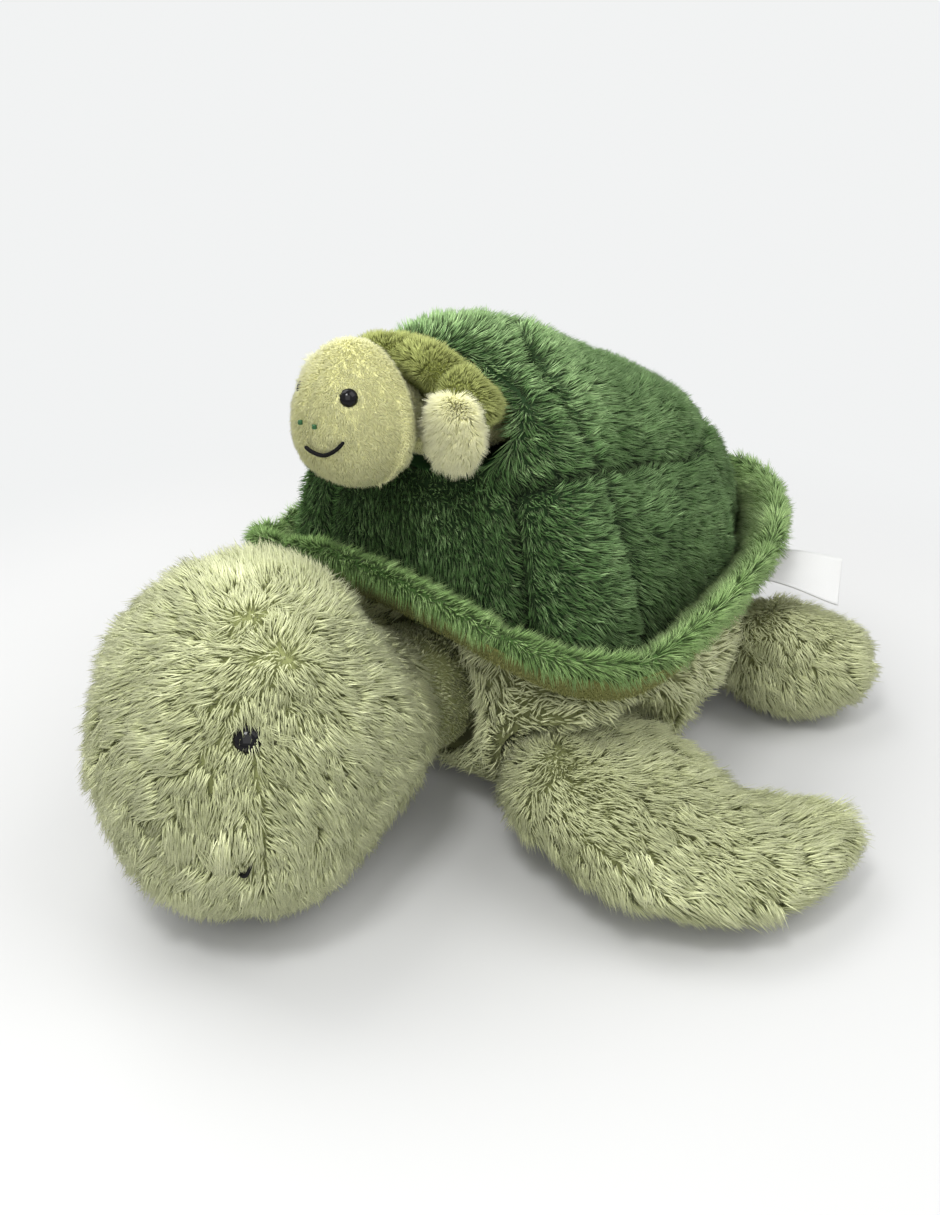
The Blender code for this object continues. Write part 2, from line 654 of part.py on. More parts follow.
def head_form():
    """The head with its neck: nearly a ball, turned to the turtle's left."""
    facing = Vector((math.sin(HEAD_TURN), -math.cos(HEAD_TURN), 0.0))
    nose = HEAD_CENTRE + facing * HEAD_REACH - UP * HEAD_REACH * HEAD_DROP_SHARE
    spine = [NECK_PIVOT, NECK_PIVOT.lerp(HEAD_CENTRE, 0.5), HEAD_CENTRE, HEAD_CENTRE.lerp(nose, 0.5), nose]
    widths = [HEAD_HALF_WIDTH * share for share in HEAD_WIDTH_SHARES]
    heights = [HEAD_HALF_HEIGHT * share for share in HEAD_HEIGHT_SHARES]
    widths[0] = heights[0] = NECK_RADIUS
    spine = [moved(point) for point in spine]
    across = Vector((1.0, 0.0, 0.0))
    return Form(spine, widths, heights, across, NECK_RADIUS, rings=14, sides=16, calm=HEAD_CALM_SHARE)


def paddle(side, pivot, tip, bow, widths, heights, blunt):
    """A flipper on one side: a bowed paddle whose root end is round about its chord."""
    root, end, bend = (mirrored(point, side) for point in (pivot, tip, bow))
    near, far = FLIPPER_BOW_SHARES
    spine = [root, root.lerp(end, 1.0 / 3.0) + bend * near, root.lerp(end, 2.0 / 3.0) + bend * far, end]
    across = UP.cross((end - root).normalized())
    spine = [moved(point) for point in spine]
    return Form(spine, widths, heights, across, heights[0], 12, 12, blunt, calm=FLIPPER_CALM_SHARE)


def front_flipper(side):
    """A front flipper: a long paddle swept back."""
    widths = [FRONT_ROOT_HALF_WIDTH] + [FRONT_HALF_WIDTH * share for share in FRONT_WIDTH_SHARES]
    heights = [FRONT_ROOT_RADIUS] + [FRONT_HALF_HEIGHT * share for share in FRONT_HEIGHT_SHARES]
    return paddle(side, FRONT_PIVOT, FRONT_TIP, FRONT_BOW, widths, heights, FRONT_BLUNT_POWER)


def rear_flipper(side):
    """A rear flipper: a short round paddle."""
    widths = [REAR_ROOT_HALF_WIDTH] + [REAR_HALF_WIDTH * share for share in REAR_WIDTH_SHARES]
    heights = [REAR_ROOT_RADIUS] + [REAR_HALF_HEIGHT * share for share in REAR_HEIGHT_SHARES]
    return paddle(side, REAR_PIVOT, REAR_TIP, REAR_BOW, widths, heights, REAR_BLUNT_POWER)


def rim_ring(name, section, finish):
    """A ring round the shell with one section of (outward, upward) points at each station."""
    outline, outward = stations()
    rings = []
    for edge, out in zip(outline, outward):
        base = Vector((edge.x, edge.y, seam_z(edge.x, edge.y)))
        rings.append([base + out * n + UP * z for n, z in section])
    return add(name, loft(rings, ring_closed=True), finish)


def lip_section(inset, angles):
    """Points round the lip's rounded section, a distance inside its surface."""
    middle_n, middle_z = RIM_REACH * 0.5 + RIM_OUT, RIM_RISE * 0.5 + SEAM_GAP
    half_long = math.hypot(RIM_REACH, RIM_RISE) * 0.5 + RIM_END_ROUND - inset
    half_thick = RIM_HALF_THICKNESS - inset
    slant = math.atan2(RIM_RISE, RIM_REACH)
    found = []
    for angle in angles:
        a, b = half_long * math.cos(angle), half_thick * math.sin(angle)
        found.append((
            middle_n + a * math.cos(slant) - b * math.sin(slant),
            middle_z + a * math.sin(slant) + b * math.cos(slant),
        ))
    return found


def socket_group(label, grow, balls, segments):
    """Cutters for the round roots of head and flippers, each grown by a clearance."""
    group = []
    for name, (centre, axis, half_along, radius) in balls.items():
        group.append(ellipsoid(f"{name}_{label}", centre, axis, half_along + grow, radius + grow, segments))
    return group


def swing_group(label, grow, limbs):
    """Cutters for the room that each flipper needs where it swings past the body, grown by a clearance."""
    group = []
    for name, (form, angles, spare) in limbs.items():
        rough = Form(
            form.spine, form.widths, form.heights, form.across, form.root_reach, SWING_RINGS, SWING_SIDES,
            form.blunt, calm=form.calm,
        )
        room = bmesh.new()
        for angle in angles:
            bm = rough.surface(-grow - spare)
            turn = Matrix.Rotation(angle, 3, form.frame(0.0)[2])
            for vert in bm.verts:
                room.verts.new(form.spine[0] + turn @ (vert.co - form.spine[0]))
            bm.free()
        hull = bmesh.ops.convex_hull(room, input=room.verts)
        inside = [found for found in hull["geom_interior"] if isinstance(found, bmesh.types.BMVert)]
        bmesh.ops.delete(room, geom=inside, context="VERTS")
        group.append(add(f"{name}_swing_{label}", room, cutter=True))
    return group


def neck_room(label, grow):
    """A cutter for the room that the head needs in front of the body as it nods and turns."""
    first, last = NECK_ROOM[0][1], NECK_ROOM[-1][1]
    profile = [(0.0, first)] + [(radius + grow, height) for radius, height in NECK_ROOM] + [(0.0, last)]
    place = moved(NECK_PIVOT)
    return turned(f"neck_room_{label}", profile, place, FORWARD, cutter=True, steps=NECK_ROOM_STEPS)


def make_torso(names, surface, wall, groups, trims, finishes):
    """A torso: its skin, open where its shell is sewn on and cut by the limbs' sockets, and its filling."""
    sockets, walls, deep_walls = groups
    skin_name, filling_name, finish = names
    hollow = add(f"{skin_name}_hollow", surface(wall), cutter=True)
    for ball in walls:
        cut(hollow, ball, solver="MANIFOLD")
    skin = add(skin_name, surface(0.0), finishes[finish])
    filling = add(filling_name, surface(wall + SEAM_GAP), finishes["fibre"])
    for tool in [hollow] + sockets + trims:
        cut(skin, tool, solver="MANIFOLD")
    for tool in deep_walls + trims:
        cut(filling, tool, solver="MANIFOLD")


def make_shell(finishes, pocket):
    """The quilted cover, its wadding, and the pocket lining in its front."""
    below = seam_block("below_shell", SEAM_GAP, above=False)
    cover = crown_solid("shell_cover", 0.0, finishes["green"], cutter=False)
    hollow = crown_solid("shell_hollow", PLUSH)
    grown = add("pocket_way", pocket.surface(-(POCKET_LINING + SEAM_GAP)), cutter=True)
    for tool in (hollow, grown, below):
        cut(cover, tool, solver="MANIFOLD")
    wadding = crown_solid("shell_wadding", PLUSH + SEAM_GAP, finishes["fibre"], cutter=False)
    for tool in (grown, below):
        cut(wadding, tool, solver="MANIFOLD")
    lining = pocket.skin("pocket_lining", POCKET_LINING, POCKET_OPEN_SHARE, finishes["lining"], outwards=True)
    space = crown_solid("shell_space", 0.0)
    cut(lining, space, "INTERSECT")


def make_rim(finishes):
    """The lip round the shell: its plush, the olive cloth under it and its wadding."""
    for name, wall, angles, finish in (
        ("rim_cover", RIM_PLUSH, RIM_COVER_ANGLES, "rim"),
        ("rim_underside", RIM_LINING, RIM_UNDERSIDE_ANGLES, "olive"),
    ):
        rim_ring(name, lip_section(0.0, angles) + lip_section(wall, angles)[::-1], finishes[finish])
    core = lip_section(RIM_PLUSH + SEAM_GAP * 2.0, RIM_UNDERSIDE_ANGLES + RIM_COVER_ANGLES)
    rim_ring("rim_wadding", core, finishes["fibre"])


def turned(name, profile, place, axis, finish=None, cutter=False, steps=TURN_STEPS):
    """A turned piece: its profile of (radius, height) pairs spun about an axis through a place."""
    mesh = bpy.data.meshes.new(name)
    mesh.from_pydata([(radius, 0.0, height) for radius, height in profile], [
        (i, i + 1) for i in range(len(profile) - 1)
    ], [])
    made = bpy.data.objects.new(name, mesh)
    made.rotation_mode = "QUATERNION"
    made.location = place
    made.rotation_quaternion = axis.to_track_quat("Z", "Y")
    step = made.modifiers.new("turn", "SCREW")
    step.steps = step.render_steps = steps
    step.use_merge_vertices = True
    step.merge_threshold = MERGE
    if cutter:
        made.hide_render = True
        made.display_type = "WIRE"
        CUTTERS.objects.link(made)
    else:
        mesh.materials.append(finish)
        PART.objects.link(made)
    return made


def drum(name, radius, top, bottom, place, axis, **kind):
    """A turned cylinder between two heights."""
    return turned(name, [(0.0, top), (radius, top), (radius, bottom), (0.0, bottom)], place, axis, **kind)


class Eye:
    """The sizes of one kind of safety eye: a domed button on a shank, held by a washer inside the skin."""

    def __init__(self, radius, crown, sink, shank, length, washer, washer_thickness, wall):
        self.radius, self.crown, self.sink = radius, crown, sink
        self.shank, self.length = shank, length
        self.washer, self.washer_thickness, self.wall = washer, washer_thickness, wall

    def make(self, prefix, seat, skin, filling, finishes):
        """The eye and its washer, with their holes cut in the skin and the filling."""
        place, axis = seat
        seat_height = -self.sink
        foot = seat_height - self.length
        dome = [
            (self.radius * math.sin(math.pi / 2.0 * i / DOME_STEPS), seat_height + self.crown
             * math.cos(math.pi / 2.0 * i / DOME_STEPS)) for i in range(DOME_STEPS + 1)
        ]
        shank = [(self.shank, seat_height), (self.shank, foot), (0.0, foot)]
        turned(prefix, dome + shank, place, axis, finishes["eye"])
        top = -self.wall - SEAM_GAP
        bottom = top - self.washer_thickness
        bore = self.shank + SEAM_GAP
        ring = [(bore, top), (self.washer, top), (self.washer, bottom), (bore, bottom), (bore, top)]
        turned(f"{prefix}_washer", ring, place, axis, finishes["nylon"])
        over = self.crown + OVERRUN
        room, deep = self.washer + SEAM_GAP, foot - OVERRUN
        for label, radius, high, low in (
            ("recess", self.radius + SEAM_GAP, over, seat_height - SEAM_GAP), ("bore", bore, over, deep),
            ("flat", room, top + SEAM_GAP, deep),
        ):
            tool = drum(f"{prefix}_{label}", radius, high, low, place, axis, cutter=True)
            cut(skin, tool, solver="MANIFOLD")
        cut(filling, drum(f"{prefix}_room", room, over, foot - SEAM_GAP, place, axis, cutter=True))


def surface_point(tree, centre, heading, side, rise):
    """The point of a head's surface at a side and a rise angle from its heading, and its normal."""
    turn = heading + side
    way = Vector((math.sin(turn) * math.cos(rise), -math.cos(turn) * math.cos(rise), math.sin(rise)))
    place, normal, _, _ = tree.ray_cast(centre, way)
    return place, normal if normal.dot(way) > 0.0 else -normal


def thread(name, tree, centre, heading, angles, radius, finish):
    """A thread that lies on a head's surface through points given as side and rise angles."""
    path = bpy.data.curves.new(name, "CURVE")
    path.dimensions = "3D"
    path.bevel_depth = radius
    path.bevel_resolution = 1
    path.use_fill_caps = True
    spline = path.splines.new("POLY")
    spline.points.add(THREAD_POINTS - 1)
    for k, point in enumerate(spline.points):
        share = k / (THREAD_POINTS - 1)
        side, rise = (along([pair[i] for pair in angles], share) for i in (0, 1))
        place, normal = surface_point(tree, centre, heading, side, rise)
        point.co = (*(place + normal * (radius + THREAD_LIFT)), 1.0)
    path.materials.append(finish)
    made = bpy.data.objects.new(name, path)
    PART.objects.link(made)
    return made


def make_limb(name, form, finishes):
    """A flipper's skin, open at its root, and its filling."""
    skin = form.skin(f"{name}_skin", PLUSH, ROOT_OPEN_SHARE, finishes["sage"])
    cut(skin, bpy.data.objects["under_floor"], solver="MANIFOLD")
    form.filling(f"{name}_filling", PLUSH, finishes["fibre"])


def make_head(finishes, form):
    """The big head with its eyes and mouth, and the firm plug in its neck."""
    skin = form.skin("head_skin", PLUSH, NECK_OPEN_SHARE, finishes["sage"])
    cut(skin, bpy.data.objects["under_floor"], solver="MANIFOLD")
    filling = form.filling("head_filling", PLUSH, finishes["fibre"])
    plug = NECK_RADIUS - PLUSH - SOCKET_GAP
    way = plug + SOCKET_GAP * 2.0
    pivot = moved(NECK_PIVOT)
    cut(filling, ellipsoid("neck_plug_way", pivot, UP, way, way, 16))
    bm = bmesh.new()
    bmesh.ops.create_uvsphere(bm, u_segments=12, v_segments=9, radius=plug)
    bmesh.ops.translate(bm, vec=pivot, verts=bm.verts)
    add("neck_filling", bm, finishes["fibre"])
    eye = Eye(
        EYE_RADIUS, EYE_CROWN, EYE_SINK, EYE_SHANK_RADIUS, EYE_SHANK_LENGTH, EYE_WASHER_RADIUS,
        EYE_WASHER_THICKNESS, PLUSH,
    )
    tree, centre = form.tree(), moved(HEAD_CENTRE)
    for side, label in ((1, "left"), (-1, "right")):
        seat = surface_point(tree, centre, HEAD_TURN, EYE_SIDE_ANGLE * side, EYE_RISE_ANGLE)
        eye.make(f"eye_{label}", seat, skin, filling, finishes)
    thread("mouth_stitches", tree, centre, HEAD_TURN, MOUTH_ANGLES, THREAD_RADIUS, finishes["thread"])


def make_label(finishes):
    """The folded ribbon that comes out of the seam at the left rear."""
    outline, outward = stations()
    station = round(STATIONS * LABEL_ROUND_SHARE)
    edge, out = outline[station], outward[station]
    base = Vector((edge.x, edge.y, seam_z(edge.x, edge.y)))
    along_seam = UP.cross(out)
    bm = bmesh.new()
    rows, places = [], {}
    for i in range(LABEL_STEPS):
        share = i / (LABEL_STEPS - 1)
        turn = Matrix.Rotation(LABEL_TWIST * share, 3, out)
        middle = base + out * (LABEL_START + LABEL_LENGTH * share)
        middle -= UP * (LABEL_HANG + LABEL_DROOP * share**2)
        wide, thick = turn @ along_seam * LABEL_WIDTH * 0.5, turn @ UP * LABEL_THICKNESS * 0.5
        row = []
        for corner in (middle + wide, middle - wide):
            row.append(bm.verts.new(moved(corner + thick)))
            places[row[-1]] = moved(corner - thick)
        rows.append(row)
    for one, two in zip(rows, rows[1:]):
        bm.faces.new((*one, *reversed(two)))
    add("sewn_label", backed(split_faces(bm), places), finishes["ribbon"])


def pocket_place(inwards, x=0.0, rise=0.0):
    """A point of the pocket: so far in from its mouth, to its left and above its axis."""
    point = placed(x, POCKET_Y, POCKET_Z) + POCKET_AXIS * inwards
    return point + POCKET_UP * rise


def pocket_form():
    """The space inside the pocket."""
    spine = [pocket_place(POCKET_DEPTH * i / 2.0) for i in range(3)]
    widths, heights = [POCKET_HALF_WIDTH] * 3, [POCKET_HALF_HEIGHT] * 3
    across = Vector((1.0, 0.0, 0.0))
    return Form(spine, widths, heights, across, POCKET_LEAD, rings=10, sides=14, blunt=POCKET_BLUNT_POWER)


def pocket_block(name, rise, above):
    """A cutter: the space above or below a plane along the pocket, a height over its axis."""
    pivot = pocket_place(0.0, 0.0, rise)
    low = pivot + Vector((-POCKET_DEPTH, -POCKET_DEPTH, 0.0 if above else -POCKET_DEPTH))
    high = pivot + Vector((POCKET_DEPTH * SKEW_SHARE, POCKET_DEPTH * 2.0, POCKET_DEPTH if above else 0.0))
    return block(name, low, high, -POCKET_TILT, pivot)


def young_body_form():
    """The young turtle's body, which lies along the pocket."""
    spine = [pocket_place(place, rise=-YOUNG_BODY_DROP) for place in YOUNG_BODY_PLACES]
    across = Vector((1.0, 0.0, 0.0))
    return Form(
        spine, YOUNG_BODY_HALF_WIDTHS, YOUNG_BODY_HALF_HEIGHTS, across, YOUNG_BODY_LEAD, rings=12, sides=12,
    )


def young_head_form():
    """The young turtle's head, an egg that stands on end."""
    facing = Vector((math.sin(YOUNG_HEAD_TURN), -math.cos(YOUNG_HEAD_TURN), 0.0))
    nose = YOUNG_HEAD_CENTRE + facing * YOUNG_HEAD_REACH
    spine = [
        YOUNG_NECK_PIVOT, YOUNG_NECK_PIVOT.lerp(YOUNG_HEAD_CENTRE, 0.5), YOUNG_HEAD_CENTRE,
        YOUNG_HEAD_CENTRE.lerp(nose, 0.5), nose,
    ]
    widths = [YOUNG_HEAD_HALF_WIDTH * share for share in YOUNG_HEAD_WIDTH_SHARES]
    heights = [YOUNG_HEAD_HALF_HEIGHT * share for share in YOUNG_HEAD_HEIGHT_SHARES]
    widths[0] = heights[0] = YOUNG_NECK_RADIUS
    spine = [moved(point) for point in spine]
    return Form(
        spine, widths, heights, Vector((1.0, 0.0, 0.0)), YOUNG_NECK_RADIUS, rings=14, sides=16,
        taper=YOUNG_HEAD_CROWN_SHARE, calm=YOUNG_HEAD_CALM_SHARE,
    )


def young_flipper(side):
    """A front flipper of the young turtle, a drop that hangs in front of the big shell."""
    root, tip = (moved(mirrored(point, side)) for point in (YOUNG_FLIPPER_ROOT, YOUNG_FLIPPER_TIP))
    spine = [root, root.lerp(tip, 0.5), tip]
    across = Vector((1.0, 0.0, 0.0))
    return Form(
        spine, YOUNG_FLIPPER_HALF_WIDTHS, YOUNG_FLIPPER_HALF_THICKNESSES, across, YOUNG_FLIPPER_ROOT_RADIUS,
        rings=10, sides=10,
    )


def make_young_head(finishes, form):
    """The young turtle's head with its eyes, nostrils and smile."""
    skin = form.skin("young_head_skin", YOUNG_PLUSH, NECK_OPEN_SHARE, finishes["pale"])
    filling = form.filling("young_head_filling", YOUNG_PLUSH, finishes["fibre"])
    eye = Eye(
        YOUNG_EYE_RADIUS, YOUNG_EYE_CROWN, YOUNG_EYE_SINK, YOUNG_EYE_SHANK_RADIUS, YOUNG_EYE_SHANK_LENGTH,
        YOUNG_EYE_WASHER_RADIUS, YOUNG_EYE_WASHER_THICKNESS, YOUNG_PLUSH,
    )
    tree, centre = form.tree(), moved(YOUNG_HEAD_CENTRE)
    for side, label in ((1, "left"), (-1, "right")):
        out, rise = YOUNG_EYE_SIDE_ANGLE * side, YOUNG_EYE_RISE_ANGLE
        seat = surface_point(tree, centre, YOUNG_HEAD_TURN, out, rise)
        eye.make(f"young_eye_{label}", seat, skin, filling, finishes)
        out, rise = NOSTRIL_ANGLES
        angles = [(out * side, rise), (out * side, rise - NOSTRIL_LENGTH_ANGLE)]
        thread(
            f"young_nostril_stitches_{label}", tree, centre, YOUNG_HEAD_TURN, angles, YOUNG_THREAD_RADIUS,
            finishes["green_thread"],
        )
    thread(
        "young_smile_stitches", tree, centre, YOUNG_HEAD_TURN, SMILE_ANGLES, YOUNG_THREAD_RADIUS,
        finishes["thread"],
    )


def make_young_shell(finishes, neck):
    """The young turtle's shell pad over its body, and the stuffed lip at the shell's front."""
    centre = pocket_place(YOUNG_SHELL_PLACE)
    bm = bmesh.new()
    bmesh.ops.create_uvsphere(bm, u_segments=20, v_segments=12, radius=1.0)
    size = Matrix.Diagonal((YOUNG_SHELL_HALF_WIDTH, YOUNG_SHELL_HALF_LENGTH, YOUNG_SHELL_HEIGHT, 1.0))
    tilt = Matrix.Rotation(-POCKET_TILT, 4, "X")
    bmesh.ops.transform(bm, matrix=Matrix.Translation(centre) @ tilt @ size, verts=bm.verts)
    pad = add("young_shell_cover", bm, finishes["moss"])
    cut(pad, pocket_block("young_below_seam", YOUNG_SEAM_RISE + SEAM_GAP, above=False), solver="MANIFOLD")
    for ball in neck:
        cut(pad, ball)
    path = bpy.data.curves.new("young_shell_rim", "CURVE")
    path.dimensions = "3D"
    path.bevel_depth = YOUNG_RIM_RADIUS
    path.bevel_resolution = 2
    path.use_fill_caps = True
    spline = path.splines.new("POLY")
    spline.points.add(len(YOUNG_RIM_POINTS) - 1)
    for point, place, share in zip(spline.points, YOUNG_RIM_POINTS, YOUNG_RIM_SHARES):
        point.co = (*moved(place), 1.0)
        point.radius = share
    path.materials.append(finishes["moss"])
    PART.objects.link(bpy.data.objects.new("young_shell_rim", path))


def make_young_rear_flippers(finishes, grown):
    """The two small flippers inside the pocket, sewn to the young body's sides."""
    for side, label in ((1, "left"), (-1, "right")):
        half_x, half_y, half_z = YOUNG_REAR_HALF_SIZES
        bm = bmesh.new()
        bmesh.ops.create_uvsphere(bm, u_segments=12, v_segments=8, radius=1.0)
        centre = pocket_place(YOUNG_REAR_PLACE, YOUNG_REAR_OUT * side, -YOUNG_BODY_DROP)
        size = Matrix.Diagonal((half_x, half_y, half_z, 1.0))
        bmesh.ops.transform(bm, matrix=Matrix.Translation(centre) @ size, verts=bm.verts)
        made = add(f"young_rear_flipper_{label}", bm, finishes["pale"])
        cut(made, grown)


def make_young(finishes):
    """The whole young turtle."""
    body, head = young_body_form(), young_head_form()
    neck = {"young_neck": (head.spine[0], UP, YOUNG_NECK_RADIUS, YOUNG_NECK_RADIUS)}
    outer = YOUNG_SOCKET_GAP + YOUNG_SOCKET_WALL
    grows = YOUNG_SOCKET_GAP, outer, outer + SEAM_GAP
    groups = [socket_group(label, grow, neck, 14) for label, grow in zip(("socket", "wall", "deep"), grows)]
    trims = [pocket_block("young_above_seam", YOUNG_SEAM_RISE, above=True)]
    make_torso(
        ("young_body_skin", "young_body_filling", "pale"), body.surface, YOUNG_PLUSH, groups, trims, finishes,
    )
    make_young_shell(finishes, groups[0])
    grown = add("young_body_way", body.surface(-SEAM_GAP), cutter=True)
    make_young_rear_flippers(finishes, grown)
    make_young_head(finishes, head)
    for side, label in ((1, "left"), (-1, "right")):
        form = young_flipper(side)
        name = f"young_front_flipper_{label}"
        form.skin(f"{name}_skin", YOUNG_PLUSH, ROOT_OPEN_SHARE, finishes["pale"])
        form.filling(f"{name}_filling", YOUNG_PLUSH, finishes["fibre"])


def add_pivot(name, place, carrier=None):
    """An empty on a joint's axis, which carries the pieces that turn or slide there."""
    made = bpy.data.objects.new(name, None)
    made.empty_display_size = PIVOT_SIZE
    PART.objects.link(made)
    made.location = place
    if carrier is not None:
        ride(made, carrier)
    return made


def ride(made, pivot):
    """Parents an object to a pivot and leaves it where it is."""
    made.parent = pivot
    made.matrix_parent_inverse = Matrix.Translation(-PIVOT_PLACES[pivot.name])


def make_pivots():
    """The joints' empties, and the pieces that each one carries."""
    PIVOT_PLACES["head_nod"] = moved(NECK_PIVOT)
    PIVOT_PLACES["head_turn"] = moved(NECK_PIVOT)
    PIVOT_PLACES["young_turtle_slide"] = pocket_place(0.0)
    PIVOT_PLACES["young_head_nod"] = moved(YOUNG_NECK_PIVOT)
    for side, label in ((1, "left"), (-1, "right")):
        PIVOT_PLACES[f"front_flipper_{label}_flap"] = moved(mirrored(FRONT_PIVOT, side))
        PIVOT_PLACES[f"rear_flipper_{label}_flap"] = moved(mirrored(REAR_PIVOT, side))
        PIVOT_PLACES[f"young_flipper_{label}_flap"] = moved(mirrored(YOUNG_FLIPPER_ROOT, side))
    pivots = {}
    for name, place in PIVOT_PLACES.items():
        carrier = pivots.get(PIVOT_CARRIERS.get(name))
        pivots[name] = add_pivot(name, place, carrier)
    for made in list(PART.objects):
        for start, pivot in PIECE_PIVOTS:
            if made.type != "EMPTY" and made.name.startswith(start):
                ride(made, pivots[pivot])
                break


def main():
    """Builds both turtles."""
    clear_scene()
    finishes = {name: cloth(*values) for name, values in FINISHES.items()}
    head = head_form()
    limbs = {
        "front_flipper_left": front_flipper(1), "front_flipper_right": front_flipper(-1),
        "rear_flipper_left": rear_flipper(1), "rear_flipper_right": rear_flipper(-1),
    }
    balls = {"neck": (head.spine[0], UP, NECK_RADIUS, NECK_RADIUS)}
    grows = (SOCKET_GAP, SOCKET_GAP + SOCKET_WALL, SOCKET_GAP + SOCKET_WALL + SEAM_GAP * 2.0)
    swings = {}
    for name, form in limbs.items():
        front = name.startswith("front")
        swings[name] = (form, FRONT_SWINGS, FRONT_SPARE) if front else (form, REAR_SWINGS, REAR_SPARE)
    groups = []
    for label, grow, segments in zip(("socket", "wall", "deep"), grows, (12, 10, 10)):
        group = socket_group(label, grow, balls, segments) + swing_group(label, grow, swings)
        groups.append(group + [neck_room(label, grow)])
    trims = [seam_block("above_seam", 0.0, above=True)]
    make_torso(("body_skin", "body_filling", "sage"), body_bmesh, PLUSH, groups, trims, finishes)
    cut(bpy.data.objects["body_skin"], floor_block(), solver="MANIFOLD")
    make_shell(finishes, pocket_form())
    make_rim(finishes)
    make_label(finishes)
    make_head(finishes, head)
    for name, form in limbs.items():
        make_limb(name, form, finishes)
    make_young(finishes)
    make_pivots()


main()
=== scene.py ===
"""The looks of a stuffed sea turtle with a young turtle in its shell pocket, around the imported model.

Sizes are in millimetres, measured from the ground point under the big turtle's head as the part's own are:
+X is the turtle's left, +Y runs towards its tail and +Z up. MIDDLE_Y moves them to the model's frame.
"""
import logging
import math
from collections.abc import Callable, Sequence
from dataclasses import dataclass, field
from enum import Enum

import bpy
import numpy as np
from mathutils import Matrix, Vector
from mathutils.bvhtree import BVHTree
from mathutils.kdtree import KDTree


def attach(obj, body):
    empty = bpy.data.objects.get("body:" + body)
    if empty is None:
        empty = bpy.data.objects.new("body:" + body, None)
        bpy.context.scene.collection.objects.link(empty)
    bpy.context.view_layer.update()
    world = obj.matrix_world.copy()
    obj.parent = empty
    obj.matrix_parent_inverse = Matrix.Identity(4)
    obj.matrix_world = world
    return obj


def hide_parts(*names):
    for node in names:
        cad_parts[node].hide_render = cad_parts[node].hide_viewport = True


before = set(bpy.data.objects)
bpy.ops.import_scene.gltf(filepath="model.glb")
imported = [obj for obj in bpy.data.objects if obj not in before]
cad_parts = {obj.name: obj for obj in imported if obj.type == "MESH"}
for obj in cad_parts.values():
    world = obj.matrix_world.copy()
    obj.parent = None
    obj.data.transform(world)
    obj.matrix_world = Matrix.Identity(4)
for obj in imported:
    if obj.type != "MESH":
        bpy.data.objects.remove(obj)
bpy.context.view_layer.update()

log = logging.getLogger("plush_turtle")
Array = np.ndarray
Comb = Callable[[Array, Array], Array]
Weight = Callable[[Array], Array]

MM = 0.001
MIDDLE_Y = 144.5
ROUND_POWER = 2.0
STEP_SHARE = 0.02
TINY = 1e-9
FLOOR_SPARE = 0.25
UP = np.array((0.0, 0.0, 1.0))


class Side(Enum):
    """The turtle's own left and right."""

    LEFT = 1
    RIGHT = -1

    @property
    def label(self) -> str:
        """The side as it stands in the pieces' names."""
        return self.name.lower()


# Numbers over arrays -------------------------------------------------------------------------------------


def unit(vectors: Array) -> Array:
    """The vectors at length one."""
    return vectors / np.maximum(np.linalg.norm(vectors, axis=-1, keepdims=True), TINY)


def dot(one: Array, two: Array) -> Array:
    """Row by row products, kept as a column."""
    return np.sum(one * two, axis=-1, keepdims=True)


def smooth(values: Array, low: float, high: float) -> Array:
    """A soft step from 0 at low to 1 at high."""
    share = np.clip((values - low) / (high - low), 0.0, 1.0)
    return share * share * (3.0 - 2.0 * share)


def along(values: Sequence, shares: Array) -> Array:
    """The smooth values of evenly spaced numbers or points.

    Args:
        values: the numbers or points, evenly spaced.
        shares: where to read them, from 0 to 1.

    Returns:
        One value, or one point, for each share.
    """
    table = np.asarray(values, float)
    last = len(table) - 1
    place = np.clip(shares, 0.0, 1.0) * last
    k = np.minimum(place.astype(int), last - 1)
    t = place - k
    before, here, after, beyond = (table[np.clip(i, 0, last)] for i in (k - 1, k, k + 1, k + 2))
    if table.ndim > 1:
        t = t[:, None]
    rise, fall = (after - before) * 0.5, (beyond - here) * 0.5
    return (
        here * (2 * t**3 - 3 * t**2 + 1) + rise * (t**3 - 2 * t**2 + t)
        + after * (3 * t**2 - 2 * t**3) + fall * (t**3 - t**2)
    )


def wander(points: Array, scale: float, seed: int) -> Array:
    """A smooth number from about -1 to 1 at each point, which changes over a distance of the scale."""
    rng = np.random.default_rng(seed)
    waves = unit(rng.normal(size=(8, 3))) * (2.0 * math.pi / scale) * rng.uniform(0.5, 1.1, (8, 1))
    return np.sin(points @ waves.T + rng.uniform(0.0, 2.0 * math.pi, 8)).sum(axis=1) / 3.2


def line_distance(points: Array, line: Sequence) -> Array:
    """How far each point is from a line through a few places."""
    stops = np.asarray(line, float)
    found = np.full(len(points), np.inf)
    for one, two in zip(stops, stops[1:]):
        run = two - one
        share = np.clip((points - one) @ run / (run @ run), 0.0, 1.0)
        found = np.minimum(found, np.linalg.norm(points - one - share[:, None] * run, axis=1))
    return found


# Surfaces -------------------------------------------------------------------------------------------------


